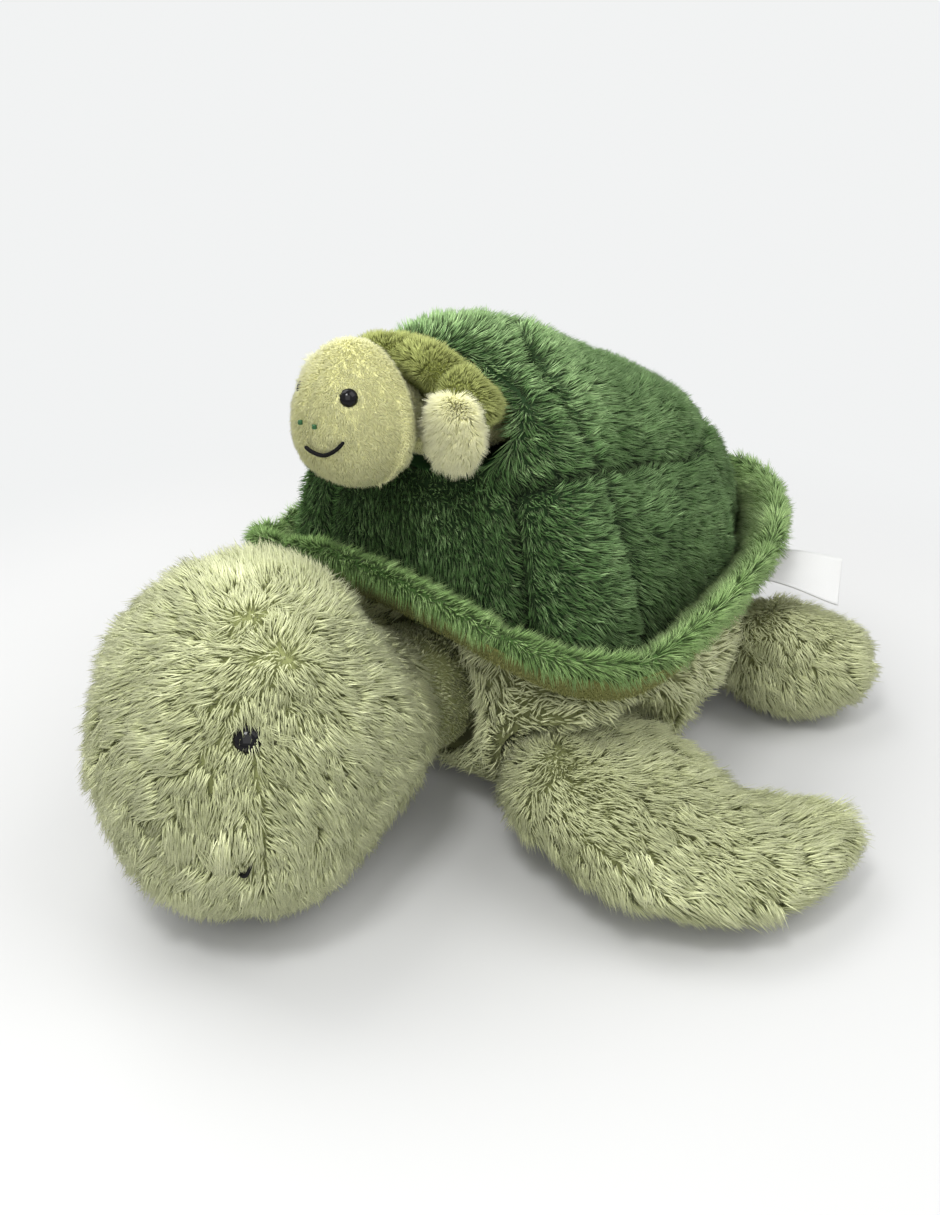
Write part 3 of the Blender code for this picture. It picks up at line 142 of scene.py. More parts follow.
@dataclass
class Surface:
    """A closed surface of triangles, in millimetres."""

    points: Array
    faces: Array

    def normals(self) -> Array:
        """The outward direction at each point."""
        corners = self.points[self.faces]
        across = np.cross(corners[:, 1] - corners[:, 0], corners[:, 2] - corners[:, 0])
        total = np.zeros_like(self.points)
        for k in range(3):
            np.add.at(total, self.faces[:, k], across)
        return unit(total)

    def areas(self) -> Array:
        """Twice the area of each triangle."""
        corners = self.points[self.faces]
        return np.linalg.norm(np.cross(corners[:, 1] - corners[:, 0], corners[:, 2] - corners[:, 0]), axis=1)

    def moved(self, out: Array | float) -> "Surface":
        """The surface moved outwards by a distance, or by one for each point."""
        step = np.asarray(out, float)
        return Surface(self.points + self.normals() * (step[:, None] if step.ndim else step), self.faces)

    def above(self, height: float) -> "Surface":
        """The surface with nothing under a height."""
        points = self.points.copy()
        points[:, 2] = np.maximum(points[:, 2], height)
        return Surface(points, self.faces)


def unit_ball(segments: int, rings: int) -> tuple[Array, Array]:
    """The points and triangles of a ball that is shaped into a stuffed form."""
    bpy.ops.object.select_all(action="DESELECT")
    bpy.ops.mesh.primitive_uv_sphere_add(segments=segments, ring_count=rings, radius=1.0)
    made = bpy.context.object
    points, faces = read_mesh(made.data)
    remove(made)
    return points, in_order(faces)


def in_order(faces: Array) -> Array:
    """The triangles in one fixed order, because a new ball's own order changes from run to run."""
    corners = (faces.argmin(axis=1)[:, None] + np.arange(3)) % 3
    turned = np.take_along_axis(faces, corners, axis=1)
    return turned[np.lexsort(turned.T[::-1])]


def read_mesh(mesh: bpy.types.Mesh) -> tuple[Array, Array]:
    """The points and triangles of a mesh."""
    mesh.calc_loop_triangles()
    points = np.empty(len(mesh.vertices) * 3)
    mesh.vertices.foreach_get("co", points)
    faces = np.empty(len(mesh.loop_triangles) * 3, np.int32)
    mesh.loop_triangles.foreach_get("vertices", faces)
    return points.reshape(-1, 3), faces.reshape(-1, 3)


def remove(made: bpy.types.Object) -> None:
    """Deletes an object and its mesh."""
    mesh = made.data
    bpy.data.objects.remove(made)
    bpy.data.meshes.remove(mesh)


def write_mesh(name: str, points: Array, faces: Array) -> bpy.types.Object:
    """A smooth-shaded object from points in millimetres and triangles.

    Args:
        name: the object's name.
        points: its points, measured as this file measures them.
        faces: its triangles, facing out.

    Returns:
        The object, at the origin, with its place in its mesh.
    """
    mesh = bpy.data.meshes.new(name)
    mesh.vertices.add(len(points))
    mesh.vertices.foreach_set("co", ((points - (0.0, MIDDLE_Y, 0.0)) * MM).astype(np.float32).ravel())
    mesh.loops.add(len(faces) * 3)
    mesh.loops.foreach_set("vertex_index", faces.astype(np.int32).ravel())
    mesh.polygons.add(len(faces))
    mesh.polygons.foreach_set("loop_start", np.arange(0, len(faces) * 3, 3, dtype=np.int32))
    mesh.polygons.foreach_set("use_smooth", np.ones(len(faces), bool))
    mesh.update(calc_edges=True)
    made = bpy.data.objects.new(name, mesh)
    bpy.context.scene.collection.objects.link(made)
    return made


def cut_away(surface: Surface, cutters: Sequence[Surface]) -> Surface:
    """The surface with other closed surfaces cut out of it."""
    target = write_mesh("cut_target", surface.points, surface.faces)
    tools = [write_mesh(f"cut_tool_{i}", tool.points, tool.faces) for i, tool in enumerate(cutters)]
    for tool in tools:
        step = target.modifiers.new(tool.name, "BOOLEAN")
        step.operation, step.solver, step.object = "DIFFERENCE", "MANIFOLD", tool
        bpy.context.view_layer.update()
        with bpy.context.temp_override(object=target):
            bpy.ops.object.modifier_apply(modifier=step.name)
    points, faces = read_mesh(target.data)
    for made in [target, *tools]:
        remove(made)
    return Surface(points / MM + (0.0, MIDDLE_Y, 0.0), faces)


def hull_of(points: Array) -> Surface:
    """The tight wrap round a cloud of points."""
    made = write_mesh("hull", points, np.empty((0, 3), int))
    bpy.ops.object.select_all(action="DESELECT")
    made.select_set(True)
    bpy.context.view_layer.objects.active = made
    bpy.ops.object.mode_set(mode="EDIT")
    bpy.ops.mesh.select_all(action="SELECT")
    bpy.ops.mesh.convex_hull()
    bpy.ops.object.mode_set(mode="OBJECT")
    found, faces = read_mesh(made.data)
    remove(made)
    return Surface(found / MM + (0.0, MIDDLE_Y, 0.0), faces)


@dataclass
class Form:
    """A stuffed form: the rings of a ball spread along a curved spine, with a round root end."""

    spine: Sequence
    widths: Sequence[float]
    heights: Sequence[float]
    root_reach: float
    across: Sequence[float] = (1.0, 0.0, 0.0)
    blunt: float = ROUND_POWER
    taper: float = 0.0
    calm: float = 0.0
    segments: int = 72
    rings: int = 56

    def frames(self, shares: Array) -> tuple[Array, Array, Array, Array]:
        """The middle, tangent, width and height directions at shares of the spine."""
        middle = along(self.spine, shares)
        tangent = unit(along(self.spine, shares + STEP_SHARE) - along(self.spine, shares - STEP_SHARE))
        chord = unit(np.subtract(self.spine[-1], self.spine[0]).astype(float))
        tangent = unit(tangent + (chord - tangent) * self.calm)
        across = np.asarray(self.across, float)
        wide = unit(across - tangent * (tangent @ across)[:, None])
        high = np.cross(tangent, wide)
        return middle, tangent, wide, high * np.where(high[:, 2:] > 0.0, 1.0, -1.0)

    def surface(self) -> Surface:
        """The form's outer surface."""
        ball, faces = unit_ball(self.segments, self.rings)
        x, y, z = ball.T
        flat = np.hypot(x, y)
        turn_x, turn_y = (np.where(flat > TINY, part / np.maximum(flat, TINY), 0.0) for part in (x, y))
        share = np.maximum(-z, 0.0)
        middle, tangent, wide, high = self.frames(share)
        size = np.where(z >= 0.0, flat, (1.0 - share**self.blunt) ** (1.0 / self.blunt))
        half_wide, half_high = along(self.widths, share) * size, along(self.heights, share) * size
        narrow = 1.0 - self.taper * turn_y * half_high / max(self.heights)
        points = middle - tangent * (self.root_reach * np.maximum(z, 0.0))[:, None]
        points = points + wide * (half_wide * turn_x * narrow)[:, None] + high * (half_high * turn_y)[:, None]
        return facing_out(Surface(points, faces))


def facing_out(surface: Surface) -> Surface:
    """The closed surface with its faces turned outwards."""
    if np.linalg.det(surface.points[surface.faces]).sum() < 0.0:
        return Surface(surface.points, surface.faces[:, ::-1])
    return surface


# Pile -----------------------------------------------------------------------------------------------------


@dataclass(frozen=True)
class Pile:
    """How the fibres of one plush grow.

    Long fibres are bent spindles of six faces, and short ones are straight spikes of four.
    """

    count: int
    length: float
    width: float
    rise_angle: float = 24.0
    lay_angle: float = 66.0
    uneven: float = 0.24
    swirl: float = 22.0
    clump_size: float = 7.0
    clump_pull: float = 0.45
    bent: bool = True
    seed: int = 1


@dataclass
class Coat:
    """A skin and the fibres on it, gathered as one piece's mesh."""

    points: list[Array] = field(default_factory=list)
    faces: list[Array] = field(default_factory=list)
    rise: list[Array] = field(default_factory=list)
    tone: list[Array] = field(default_factory=list)
    count: int = 0

    def add(self, points: Array, faces: Array, rise: Array, tone: Array) -> None:
        """Adds points and triangles with their height in the pile and their tone."""
        self.points.append(points)
        self.faces.append(faces + self.count)
        self.rise.append(rise)
        self.tone.append(tone)
        self.count += len(points)

    def skin(self, surface: Surface, tone: Array) -> None:
        """Adds the cloth that the fibres stand in."""
        self.add(surface.points, surface.faces, np.zeros(len(surface.points)), tone)

    def piece(self, name: str) -> bpy.types.Object:
        """The finished mesh object, with its two colour values and its map for the bake."""
        faces = np.concatenate(self.faces)
        rise, tone = np.concatenate(self.rise), np.concatenate(self.tone)
        made = write_mesh(name, np.concatenate(self.points), faces)
        for label, values in (("rise", rise), ("tone", tone)):
            layer = made.data.attributes.new(label, "FLOAT", "POINT")
            layer.data.foreach_set("value", values.astype(np.float32))
        corner_tone, corner_rise = tone[faces], rise[faces]
        step = np.array((0.0, 0.012, 0.006))
        across = np.clip(corner_tone, 0.0, 1.0) * 0.96 + 0.015 + step
        upward = np.clip(corner_rise, 0.0, 1.0) * 0.96 + 0.015 + step[::-1] * 0.5
        layer = made.data.uv_layers.new(name="OFBake")
        layer.data.foreach_set("uv", np.stack([across, upward], axis=-1).astype(np.float32).ravel())
        return made


def spread(rng: np.random.Generator, surface: Surface, weight: Weight, count: int) -> tuple[Array, Array]:
    """Places on a surface, spread by area and by a weight.

    Args:
        rng: the piece's own random numbers.
        surface: the skin.
        weight: how thick the fibres grow at a place, from 0 to 1.
        count: how many places.

    Returns:
        The places and the outward directions there.
    """
    corners = surface.points[surface.faces]
    areas = surface.areas() * np.clip(weight(corners.mean(axis=1)), 0.0, 1.0)
    sums = np.cumsum(areas)
    picked = np.searchsorted(sums, (np.arange(count) + rng.uniform(size=count)) / count * sums[-1])
    picked = np.minimum(picked, len(areas) - 1)
    a, b = rng.uniform(size=(2, count, 1))
    a, b = np.where(a + b > 1.0, 1.0 - a, a), np.where(a + b > 1.0, 1.0 - b, b)
    shares = np.concatenate([1.0 - a - b, a, b], axis=1)[:, :, None]
    normals = surface.normals()[surface.faces[picked]]
    return (corners[picked] * shares).sum(axis=1), unit((normals * shares).sum(axis=1))


def nearest(centres: Array, points: Array) -> Array:
    """For each point, the number of the centre that is nearest to it."""
    tree = KDTree(len(centres))
    for number, centre in enumerate(centres):
        tree.insert(centre, number)
    tree.balance()
    return np.fromiter((tree.find(point)[1] for point in points), int, len(points))


def grow(
    coat: Coat, surface: Surface, pile: Pile, comb: Comb, weight: Weight, trim: Weight | None = None,
    tint: Weight | None = None,
) -> None:
    """Grows a plush's fibres on a skin.

    Args:
        coat: the piece that they are added to.
        surface: the skin.
        pile: the kind of fibre.
        comb: the way that the pile is brushed at each place.
        weight: how thick it grows there.
        trim: how much of its length is left there.
        tint: how much lighter or darker it is there.
    """
    rng = np.random.default_rng(pile.seed)
    roots, normals = spread(rng, surface, weight, pile.count)
    count = len(roots)
    ways = comb(roots, normals)
    ways = unit(ways - normals * dot(ways, normals))
    sides = np.cross(normals, ways)
    clumps = max(2, int(count / clump_members(surface, pile, weight)))
    centres = roots[rng.choice(count, clumps, replace=False)]
    member = nearest(centres, roots)
    clump_turn = rng.normal(size=len(centres)) * 0.55 + wander(centres, 45.0, pile.seed + 7) * 0.8
    turn = np.radians(pile.swirl) * (clump_turn[member] + rng.normal(size=count) * 0.35)
    ways, sides = (
        ways * np.cos(turn)[:, None] + sides * np.sin(turn)[:, None],
        sides * np.cos(turn)[:, None] - ways * np.sin(turn)[:, None],
    )
    length = pile.length * (1.0 + rng.normal(size=count) * pile.uneven * 0.5)
    length *= 1.0 + rng.normal(size=len(centres))[member] * pile.uneven * 0.7
    length = np.clip(length, pile.length * 0.35, pile.length * 1.45)
    if trim is not None:
        length *= trim(roots)
    rise = np.radians(pile.rise_angle) + rng.normal(size=count) * 0.16
    lay = np.radians(pile.lay_angle) + rng.normal(size=count) * 0.14
    lay += wander(roots, 30.0, pile.seed + 3) * 0.16
    lower = normals * np.cos(rise)[:, None] + ways * np.sin(rise)[:, None]
    upper = normals * np.cos(lay)[:, None] + ways * np.sin(lay)[:, None]
    middles = roots + lower * (length * 0.42)[:, None]
    tips = middles + upper * (length * 0.58)[:, None]
    sums = np.zeros((len(centres), 3))
    np.add.at(sums, member, tips - roots)
    members = np.maximum(np.bincount(member, minlength=len(centres)), 1)[:, None]
    heads = centres + sums / members
    pull = pile.clump_pull * rng.uniform(0.4, 1.0, (count, 1))
    tips += (heads[member] - tips) * pull
    middles += (heads[member] - tips) * pull * 0.12
    sides = unit(sides)
    tone = rng.normal(size=count) * 0.10 + rng.normal(size=len(centres))[member] * 0.08
    tone += wander(roots, 38.0, pile.seed + 5) * 0.07 + 0.5
    if tint is not None:
        tone += tint(roots)
    half = pile.width * 0.5 * rng.uniform(0.7, 1.3, (count, 1))
    if pile.bent:
        base, waist = roots - normals * 0.3, middles - lower * (length * 0.08)[:, None]
        over = np.cross(sides, unit(upper + lower))
        ring = [waist + sides * half, waist - sides * half, waist + over * half * 1.1]
        rows = np.stack([base, *ring, tips], axis=1)
        heights = np.array((0.0, 0.42, 0.42, 0.42, 1.0))
        shape = np.array(((0, 2, 1), (0, 3, 2), (0, 1, 3), (4, 1, 2), (4, 2, 3), (4, 3, 1)))
    else:
        base = roots - normals * 0.15
        ring = [base + sides * half, base - sides * half, base - ways * half * 1.2]
        rows = np.stack([*ring, tips], axis=1)
        heights = np.array((0.0, 0.0, 0.0, 1.0))
        shape = np.array(((0, 1, 2), (3, 1, 0), (3, 2, 1), (3, 0, 2)))
    first = rows[0][shape]
    if np.linalg.det(first - rows[0].mean(axis=0)).sum() < 0.0:
        shape = shape[:, ::-1]
    rows[:, :, 2] = np.maximum(rows[:, :, 2], FLOOR_SPARE + rng.uniform(0.0, 0.3, (count, 1)))
    each = rows.shape[1]
    faces = (np.arange(count) * each)[:, None, None] + shape[None]
    reach = np.clip(length / pile.length, 0.4, 1.2)[:, None] * heights
    coat.add(rows.reshape(-1, 3), faces.reshape(-1, 3), reach.ravel(), np.repeat(tone, each))


def clump_members(surface: Surface, pile: Pile, weight: Weight) -> float:
    """How many fibres lean together in one clump."""
    corners = surface.points[surface.faces]
    areas = surface.areas() / 2.0
    area = float((areas * np.clip(weight(corners.mean(axis=1)), 0.0, 1.0)).sum())
    return max(3.0, pile.count / area * pile.clump_size**2)


def everywhere(points: Array) -> Array:
    """The same thickness of pile all over."""
    return np.ones(len(points))


# Finishes -------------------------------------------------------------------------------------------------


def new_group(name: str, inputs: Sequence[tuple], outputs: Sequence[tuple]) -> bpy.types.NodeTree:
    """An empty shader node group with named sockets.

    Args:
        name: the group's name.
        inputs: for each, its name, its socket type and its value.
        outputs: for each, its name and its socket type.

    Returns:
        The group, with its input and output nodes.
    """
    group = bpy.data.node_groups.new(name, "ShaderNodeTree")
    for label, kind, value in inputs:
        made = group.interface.new_socket(name=label, in_out="INPUT", socket_type=kind)
        made.default_value = value
    for label, kind in outputs:
        group.interface.new_socket(name=label, in_out="OUTPUT", socket_type=kind)
    group.nodes.new("NodeGroupInput").name = "in"
    group.nodes.new("NodeGroupOutput").name = "out"
    return group


def pile_group() -> bpy.types.NodeTree:
    """Colours a fibre from its root to its tip, and from fibre to fibre; the root is darker than the tip as
    painted shade deep in the pile.
    """
    colour, number = "NodeSocketColor", "NodeSocketFloat"
    group = new_group("pile_tint", (
        ("Root", colour, (0.1, 0.1, 0.1, 1.0)), ("Tip", colour, (0.5, 0.5, 0.5, 1.0)),
        ("Bleached_and_highlight", colour, (0.8, 0.8, 0.8, 1.0)), ("Spread", number, 1.0),
    ), (("Color", colour), ("Roughness", number)))
    nodes, links = group.nodes, group.links
    rise, tone = nodes.new("ShaderNodeAttribute"), nodes.new("ShaderNodeAttribute")
    rise.attribute_name, tone.attribute_name = "rise", "tone"
    curve = nodes.new("ShaderNodeMapRange")
    curve.interpolation_type = "SMOOTHSTEP"
    curve.inputs["From Min"].default_value = -0.1
    curve.inputs["From Max"].default_value = 0.8
    links.new(rise.outputs["Fac"], curve.inputs["Value"])
    # Root colour towards tip colour up the fibre: the darker root is painted shade deep in the pile.
    base = nodes.new("ShaderNodeMix")
    base.data_type = "RGBA"
    links.new(curve.outputs["Result"], base.inputs["Factor"])
    links.new(nodes["in"].outputs["Root"], base.inputs[6])
    links.new(nodes["in"].outputs["Tip"], base.inputs[7])
    far = nodes.new("ShaderNodeMath")
    far.operation = "SUBTRACT"
    far.inputs[1].default_value = 0.5
    links.new(tone.outputs["Fac"], far.inputs[0])
    strong = nodes.new("ShaderNodeMath")
    strong.operation = "MULTIPLY"
    links.new(far.outputs[0], strong.inputs[0])
    links.new(nodes["in"].outputs["Spread"], strong.inputs[1])
    lighter = nodes.new("ShaderNodeMath")
    lighter.operation, lighter.use_clamp = "MAXIMUM", True
    lighter.inputs[1].default_value = 0.0
    links.new(strong.outputs[0], lighter.inputs[0])
    # Tones above the middle turn towards the palest colour: fibres that differ at random, and the painted
    # highlight on the dome's top.
    pale = nodes.new("ShaderNodeMix")
    pale.data_type = "RGBA"
    links.new(lighter.outputs[0], pale.inputs["Factor"])
    links.new(base.outputs[2], pale.inputs[6])
    links.new(nodes["in"].outputs["Bleached_and_highlight"], pale.inputs[7])
    value = nodes.new("ShaderNodeMath")
    value.operation = "ADD"
    value.inputs[1].default_value = 1.0
    links.new(strong.outputs[0], value.inputs[0])
    shade = nodes.new("ShaderNodeHueSaturation")
    links.new(value.outputs[0], shade.inputs["Value"])
    links.new(pale.outputs[2], shade.inputs["Color"])
    rough = nodes.new("ShaderNodeMapRange")
    rough.inputs["To Min"].default_value = 0.95
    rough.inputs["To Max"].default_value = 0.7
    links.new(rise.outputs["Fac"], rough.inputs["Value"])
    links.new(shade.outputs["Color"], nodes["out"].inputs["Color"])
    links.new(rough.outputs["Result"], nodes["out"].inputs["Roughness"])
    return group


@dataclass(frozen=True)
class PlushFinish:
    """A plush's colours, as linear values, and its sheen; the root colour is darker than the tip as painted
    shade deep in the pile.
    """

    name: str
    root: tuple[float, float, float]
    tip: tuple[float, float, float]
    bleached_and_highlight: tuple[float, float, float]
    spread: float = 1.0
    sheen: float = 0.25

    def material(self, group: bpy.types.NodeTree) -> bpy.types.Material:
        """The material, with the shared pile group."""
        made = bpy.data.materials.new(self.name)
        made.use_nodes = True
        nodes, links = made.node_tree.nodes, made.node_tree.links
        shader = nodes["Principled BSDF"]
        tint = nodes.new("ShaderNodeGroup")
        tint.node_tree = group
        for label, colour in (("Root", self.root), ("Tip", self.tip), ("Bleached_and_highlight", self.bleached_and_highlight)):
            tint.inputs[label].default_value = (*colour, 1.0)
        tint.inputs["Spread"].default_value = self.spread
        links.new(tint.outputs["Color"], shader.inputs["Base Color"])
        links.new(tint.outputs["Roughness"], shader.inputs["Roughness"])
        shader.inputs["Metallic"].default_value = 0.0
        shader.inputs["Specular IOR Level"].default_value = 0.2
        shader.inputs["Sheen Weight"].default_value = self.sheen
        shader.inputs["Sheen Roughness"].default_value = 0.45
        shader.inputs["Sheen Tint"].default_value = (*self.bleached_and_highlight, 1.0)
        return made


@dataclass(frozen=True)
class SolidFinish:
    """A moulded, woven or stitched finish with a little noise in its colour and its surface."""

    name: str
    colour: tuple[float, float, float]
    dark: tuple[float, float, float]
    roughness: float
    grain: float = 900.0
    bump: float = 0.1
    specular: float = 0.4
    weave: float = 0.0

    def material(self) -> bpy.types.Material:
        """The material."""
        made = bpy.data.materials.new(self.name)
        made.use_nodes = True
        nodes, links = made.node_tree.nodes, made.node_tree.links
        shader = nodes["Principled BSDF"]
        place = nodes.new("ShaderNodeTexCoord")
        noise = nodes.new("ShaderNodeTexNoise")
        noise.inputs["Scale"].default_value = self.grain
        noise.inputs["Detail"].default_value = 3.0
        links.new(place.outputs["Object"], noise.inputs["Vector"])
        height = noise.outputs["Fac"]
        if self.weave:
            wave = nodes.new("ShaderNodeTexWave")
            wave.inputs["Scale"].default_value = self.weave
            wave.inputs["Distortion"].default_value = 0.6
            links.new(place.outputs["Object"], wave.inputs["Vector"])
            blend = nodes.new("ShaderNodeMath")
            blend.operation = "MULTIPLY"
            links.new(wave.outputs["Fac"], blend.inputs[0])
            links.new(noise.outputs["Fac"], blend.inputs[1])
            height = blend.outputs[0]
        tint = nodes.new("ShaderNodeMix")
        tint.data_type = "RGBA"
        tint.inputs[6].default_value = (*self.dark, 1.0)
        tint.inputs[7].default_value = (*self.colour, 1.0)
        links.new(height, tint.inputs["Factor"])
        links.new(tint.outputs[2], shader.inputs["Base Color"])
        rough = nodes.new("ShaderNodeMapRange")
        rough.inputs["To Min"].default_value = self.roughness * 0.85
        rough.inputs["To Max"].default_value = min(1.0, self.roughness * 1.15)
        links.new(noise.outputs["Fac"], rough.inputs["Value"])
        links.new(rough.outputs["Result"], shader.inputs["Roughness"])
        bump = nodes.new("ShaderNodeBump")
        bump.inputs["Strength"].default_value = self.bump
        bump.inputs["Distance"].default_value = 0.0003
        links.new(height, bump.inputs["Height"])
        links.new(bump.outputs["Normal"], shader.inputs["Normal"])
        shader.inputs["Metallic"].default_value = 0.0
        shader.inputs["Specular IOR Level"].default_value = self.specular
        return made


# Each root colour is darker than its tip: painted shade deep in the pile.
SAGE = PlushFinish("sage_pile", (0.29, 0.315, 0.125), (0.58, 0.61, 0.345), (0.84, 0.84, 0.60), spread=0.85)
GREEN = PlushFinish("green_pile", (0.009, 0.028, 0.007), (0.10, 0.21, 0.06), (0.42, 0.58, 0.28), spread=1.4)
RIM = PlushFinish("rim_pile", (0.05, 0.11, 0.025), (0.25, 0.41, 0.13), (0.58, 0.72, 0.36), spread=1.2)
OLIVE = PlushFinish("olive_velour", (0.13, 0.135, 0.04), (0.27, 0.28, 0.09), (0.44, 0.45, 0.20), spread=0.7)
CREAM = PlushFinish("cream_pile", (0.86, 0.85, 0.44), (0.97, 0.96, 0.60), (0.99, 0.98, 0.82), spread=0.3)
PALE = PlushFinish("pale_pile", (0.70, 0.69, 0.34), (0.88, 0.87, 0.48), (0.97, 0.96, 0.78), spread=0.3)
MOSS = PlushFinish("moss_pile", (0.14, 0.16, 0.03), (0.40, 0.44, 0.14), (0.60, 0.63, 0.28), spread=1.0)
EYE = SolidFinish("black_gloss_plastic", (0.003, 0.003, 0.004), (0.001, 0.001, 0.001), 0.08, 300.0, 0.0, 0.22)
NYLON = SolidFinish("white_nylon", (0.80, 0.80, 0.78), (0.70, 0.70, 0.68), 0.40)
THREAD = SolidFinish("black_thread", (0.010, 0.010, 0.010), (0.002, 0.002, 0.002), 0.6, 1500.0, 0.5, 0.1)
GREEN_THREAD = SolidFinish("green_thread", (0.03, 0.13, 0.04), (0.01, 0.05, 0.015), 0.55, 1500.0, 0.5)
RIBBON = SolidFinish("white_ribbon", (0.66, 0.66, 0.65), (0.56, 0.56, 0.55), 0.5, 2500.0, 0.3, 0.4, 700.0)
LINING = SolidFinish("lining_cloth", (0.05, 0.13, 0.045), (0.02, 0.06, 0.02), 0.9, 1800.0, 0.5, 0.1, 500.0)
FIBRE = SolidFinish("white_fibre", (0.86, 0.86, 0.84), (0.74, 0.74, 0.72), 0.95, 700.0, 0.8)


class Wardrobe:
    """Makes each finish's material once."""

    def __init__(self) -> None:
        """Starts with the shared pile group and no materials."""
        self.group = pile_group()
        self.made: dict[str, bpy.types.Material] = {}

    def put_on(self, made: bpy.types.Object, finish: PlushFinish | SolidFinish) -> None:
        """Gives a piece its finish, in place of what it wore."""
        if finish.name not in self.made:
            pile = isinstance(finish, PlushFinish)
            self.made[finish.name] = finish.material(self.group) if pile else finish.material()
        made.data.materials.clear()
        made.data.materials.append(self.made[finish.name])


def hand_over(made: bpy.types.Object, body: str, nodes: Sequence[str]) -> None:
    """Lets a finished piece ride on its body and stand for its CAD nodes.

    Args:
        made: the piece.
        body: the body that carries it.
        nodes: the CAD nodes that it stands for.
    """
    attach(made, body)
    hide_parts(*nodes)
    log.info("%s rides on %s, %d triangles", made.name, body, len(made.data.polygons))


# Shell ----------------------------------------------------------------------------------------------------


@dataclass
class Outline:
    """The sewn edge between body and shell, seen from above, and its height."""

    front_y: float = 92.0
    length: float = 242.0
    half_width: float = 103.0
    front_z: float = 104.0
    back_z: float = 80.0
    side_drop: float = 14.0
    right_drop: float = 12.0
    shares: tuple = (
        (0.0, 0.0), (0.35, 0.0), (0.68, 0.01), (0.90, 0.045), (1.0, 0.125), (0.96, 0.28),
        (0.87, 0.46), (0.74, 0.64), (0.56, 0.79), (0.31, 0.93), (0.0, 1.0),
    )
    samples: int = 1024

    def __post_init__(self) -> None:
        """Measures the outline once."""
        shares = np.arange(self.samples + 1) / self.samples
        side = np.where(shares <= 0.5, 1.0, -1.0)
        half = np.where(shares <= 0.5, shares * 2.0, 2.0 - shares * 2.0)
        second, before_last = self.shares[1], self.shares[-2]
        stops = [(-second[0], second[1]), *self.shares, (-before_last[0], before_last[1])]
        spans = len(stops) - 1
        found = along(stops, (1.0 + half * (spans - 2)) / spans)
        self.fine = np.stack([
            found[:, 0] * self.half_width * side, found[:, 1] * self.length + self.front_y,
        ], axis=1)
        steps = np.linalg.norm(np.diff(self.fine, axis=0), axis=1)
        self.run = np.concatenate([[0.0], np.cumsum(steps)])

    def at(self, shares: Array) -> Array:
        """The outline's points at shares of its length, from its front round its left side."""
        goal = np.mod(shares, 1.0) * self.run[-1]
        return np.stack([np.interp(goal, self.run, self.fine[:, k]) for k in (0, 1)], axis=1)

    def outward(self, shares: Array) -> Array:
        """The outward directions there."""
        chord = self.at(shares + 1.0 / 32.0) - self.at(shares - 1.0 / 32.0)
        return unit(np.stack([chord[:, 1], -chord[:, 0], np.zeros(len(chord))], axis=1))

    def height(self, x: Array, y: Array) -> Array:
        """The height of the sewn edge, which drops towards the tail and the sides."""
        back = (y - self.front_y) / self.length
        middle = self.front_z + (self.back_z - self.front_z) * back
        drop = self.side_drop + self.right_drop * smooth(-x, 0.0, self.half_width)
        return middle - drop * (1.0 - back) * (x / self.half_width) ** 2


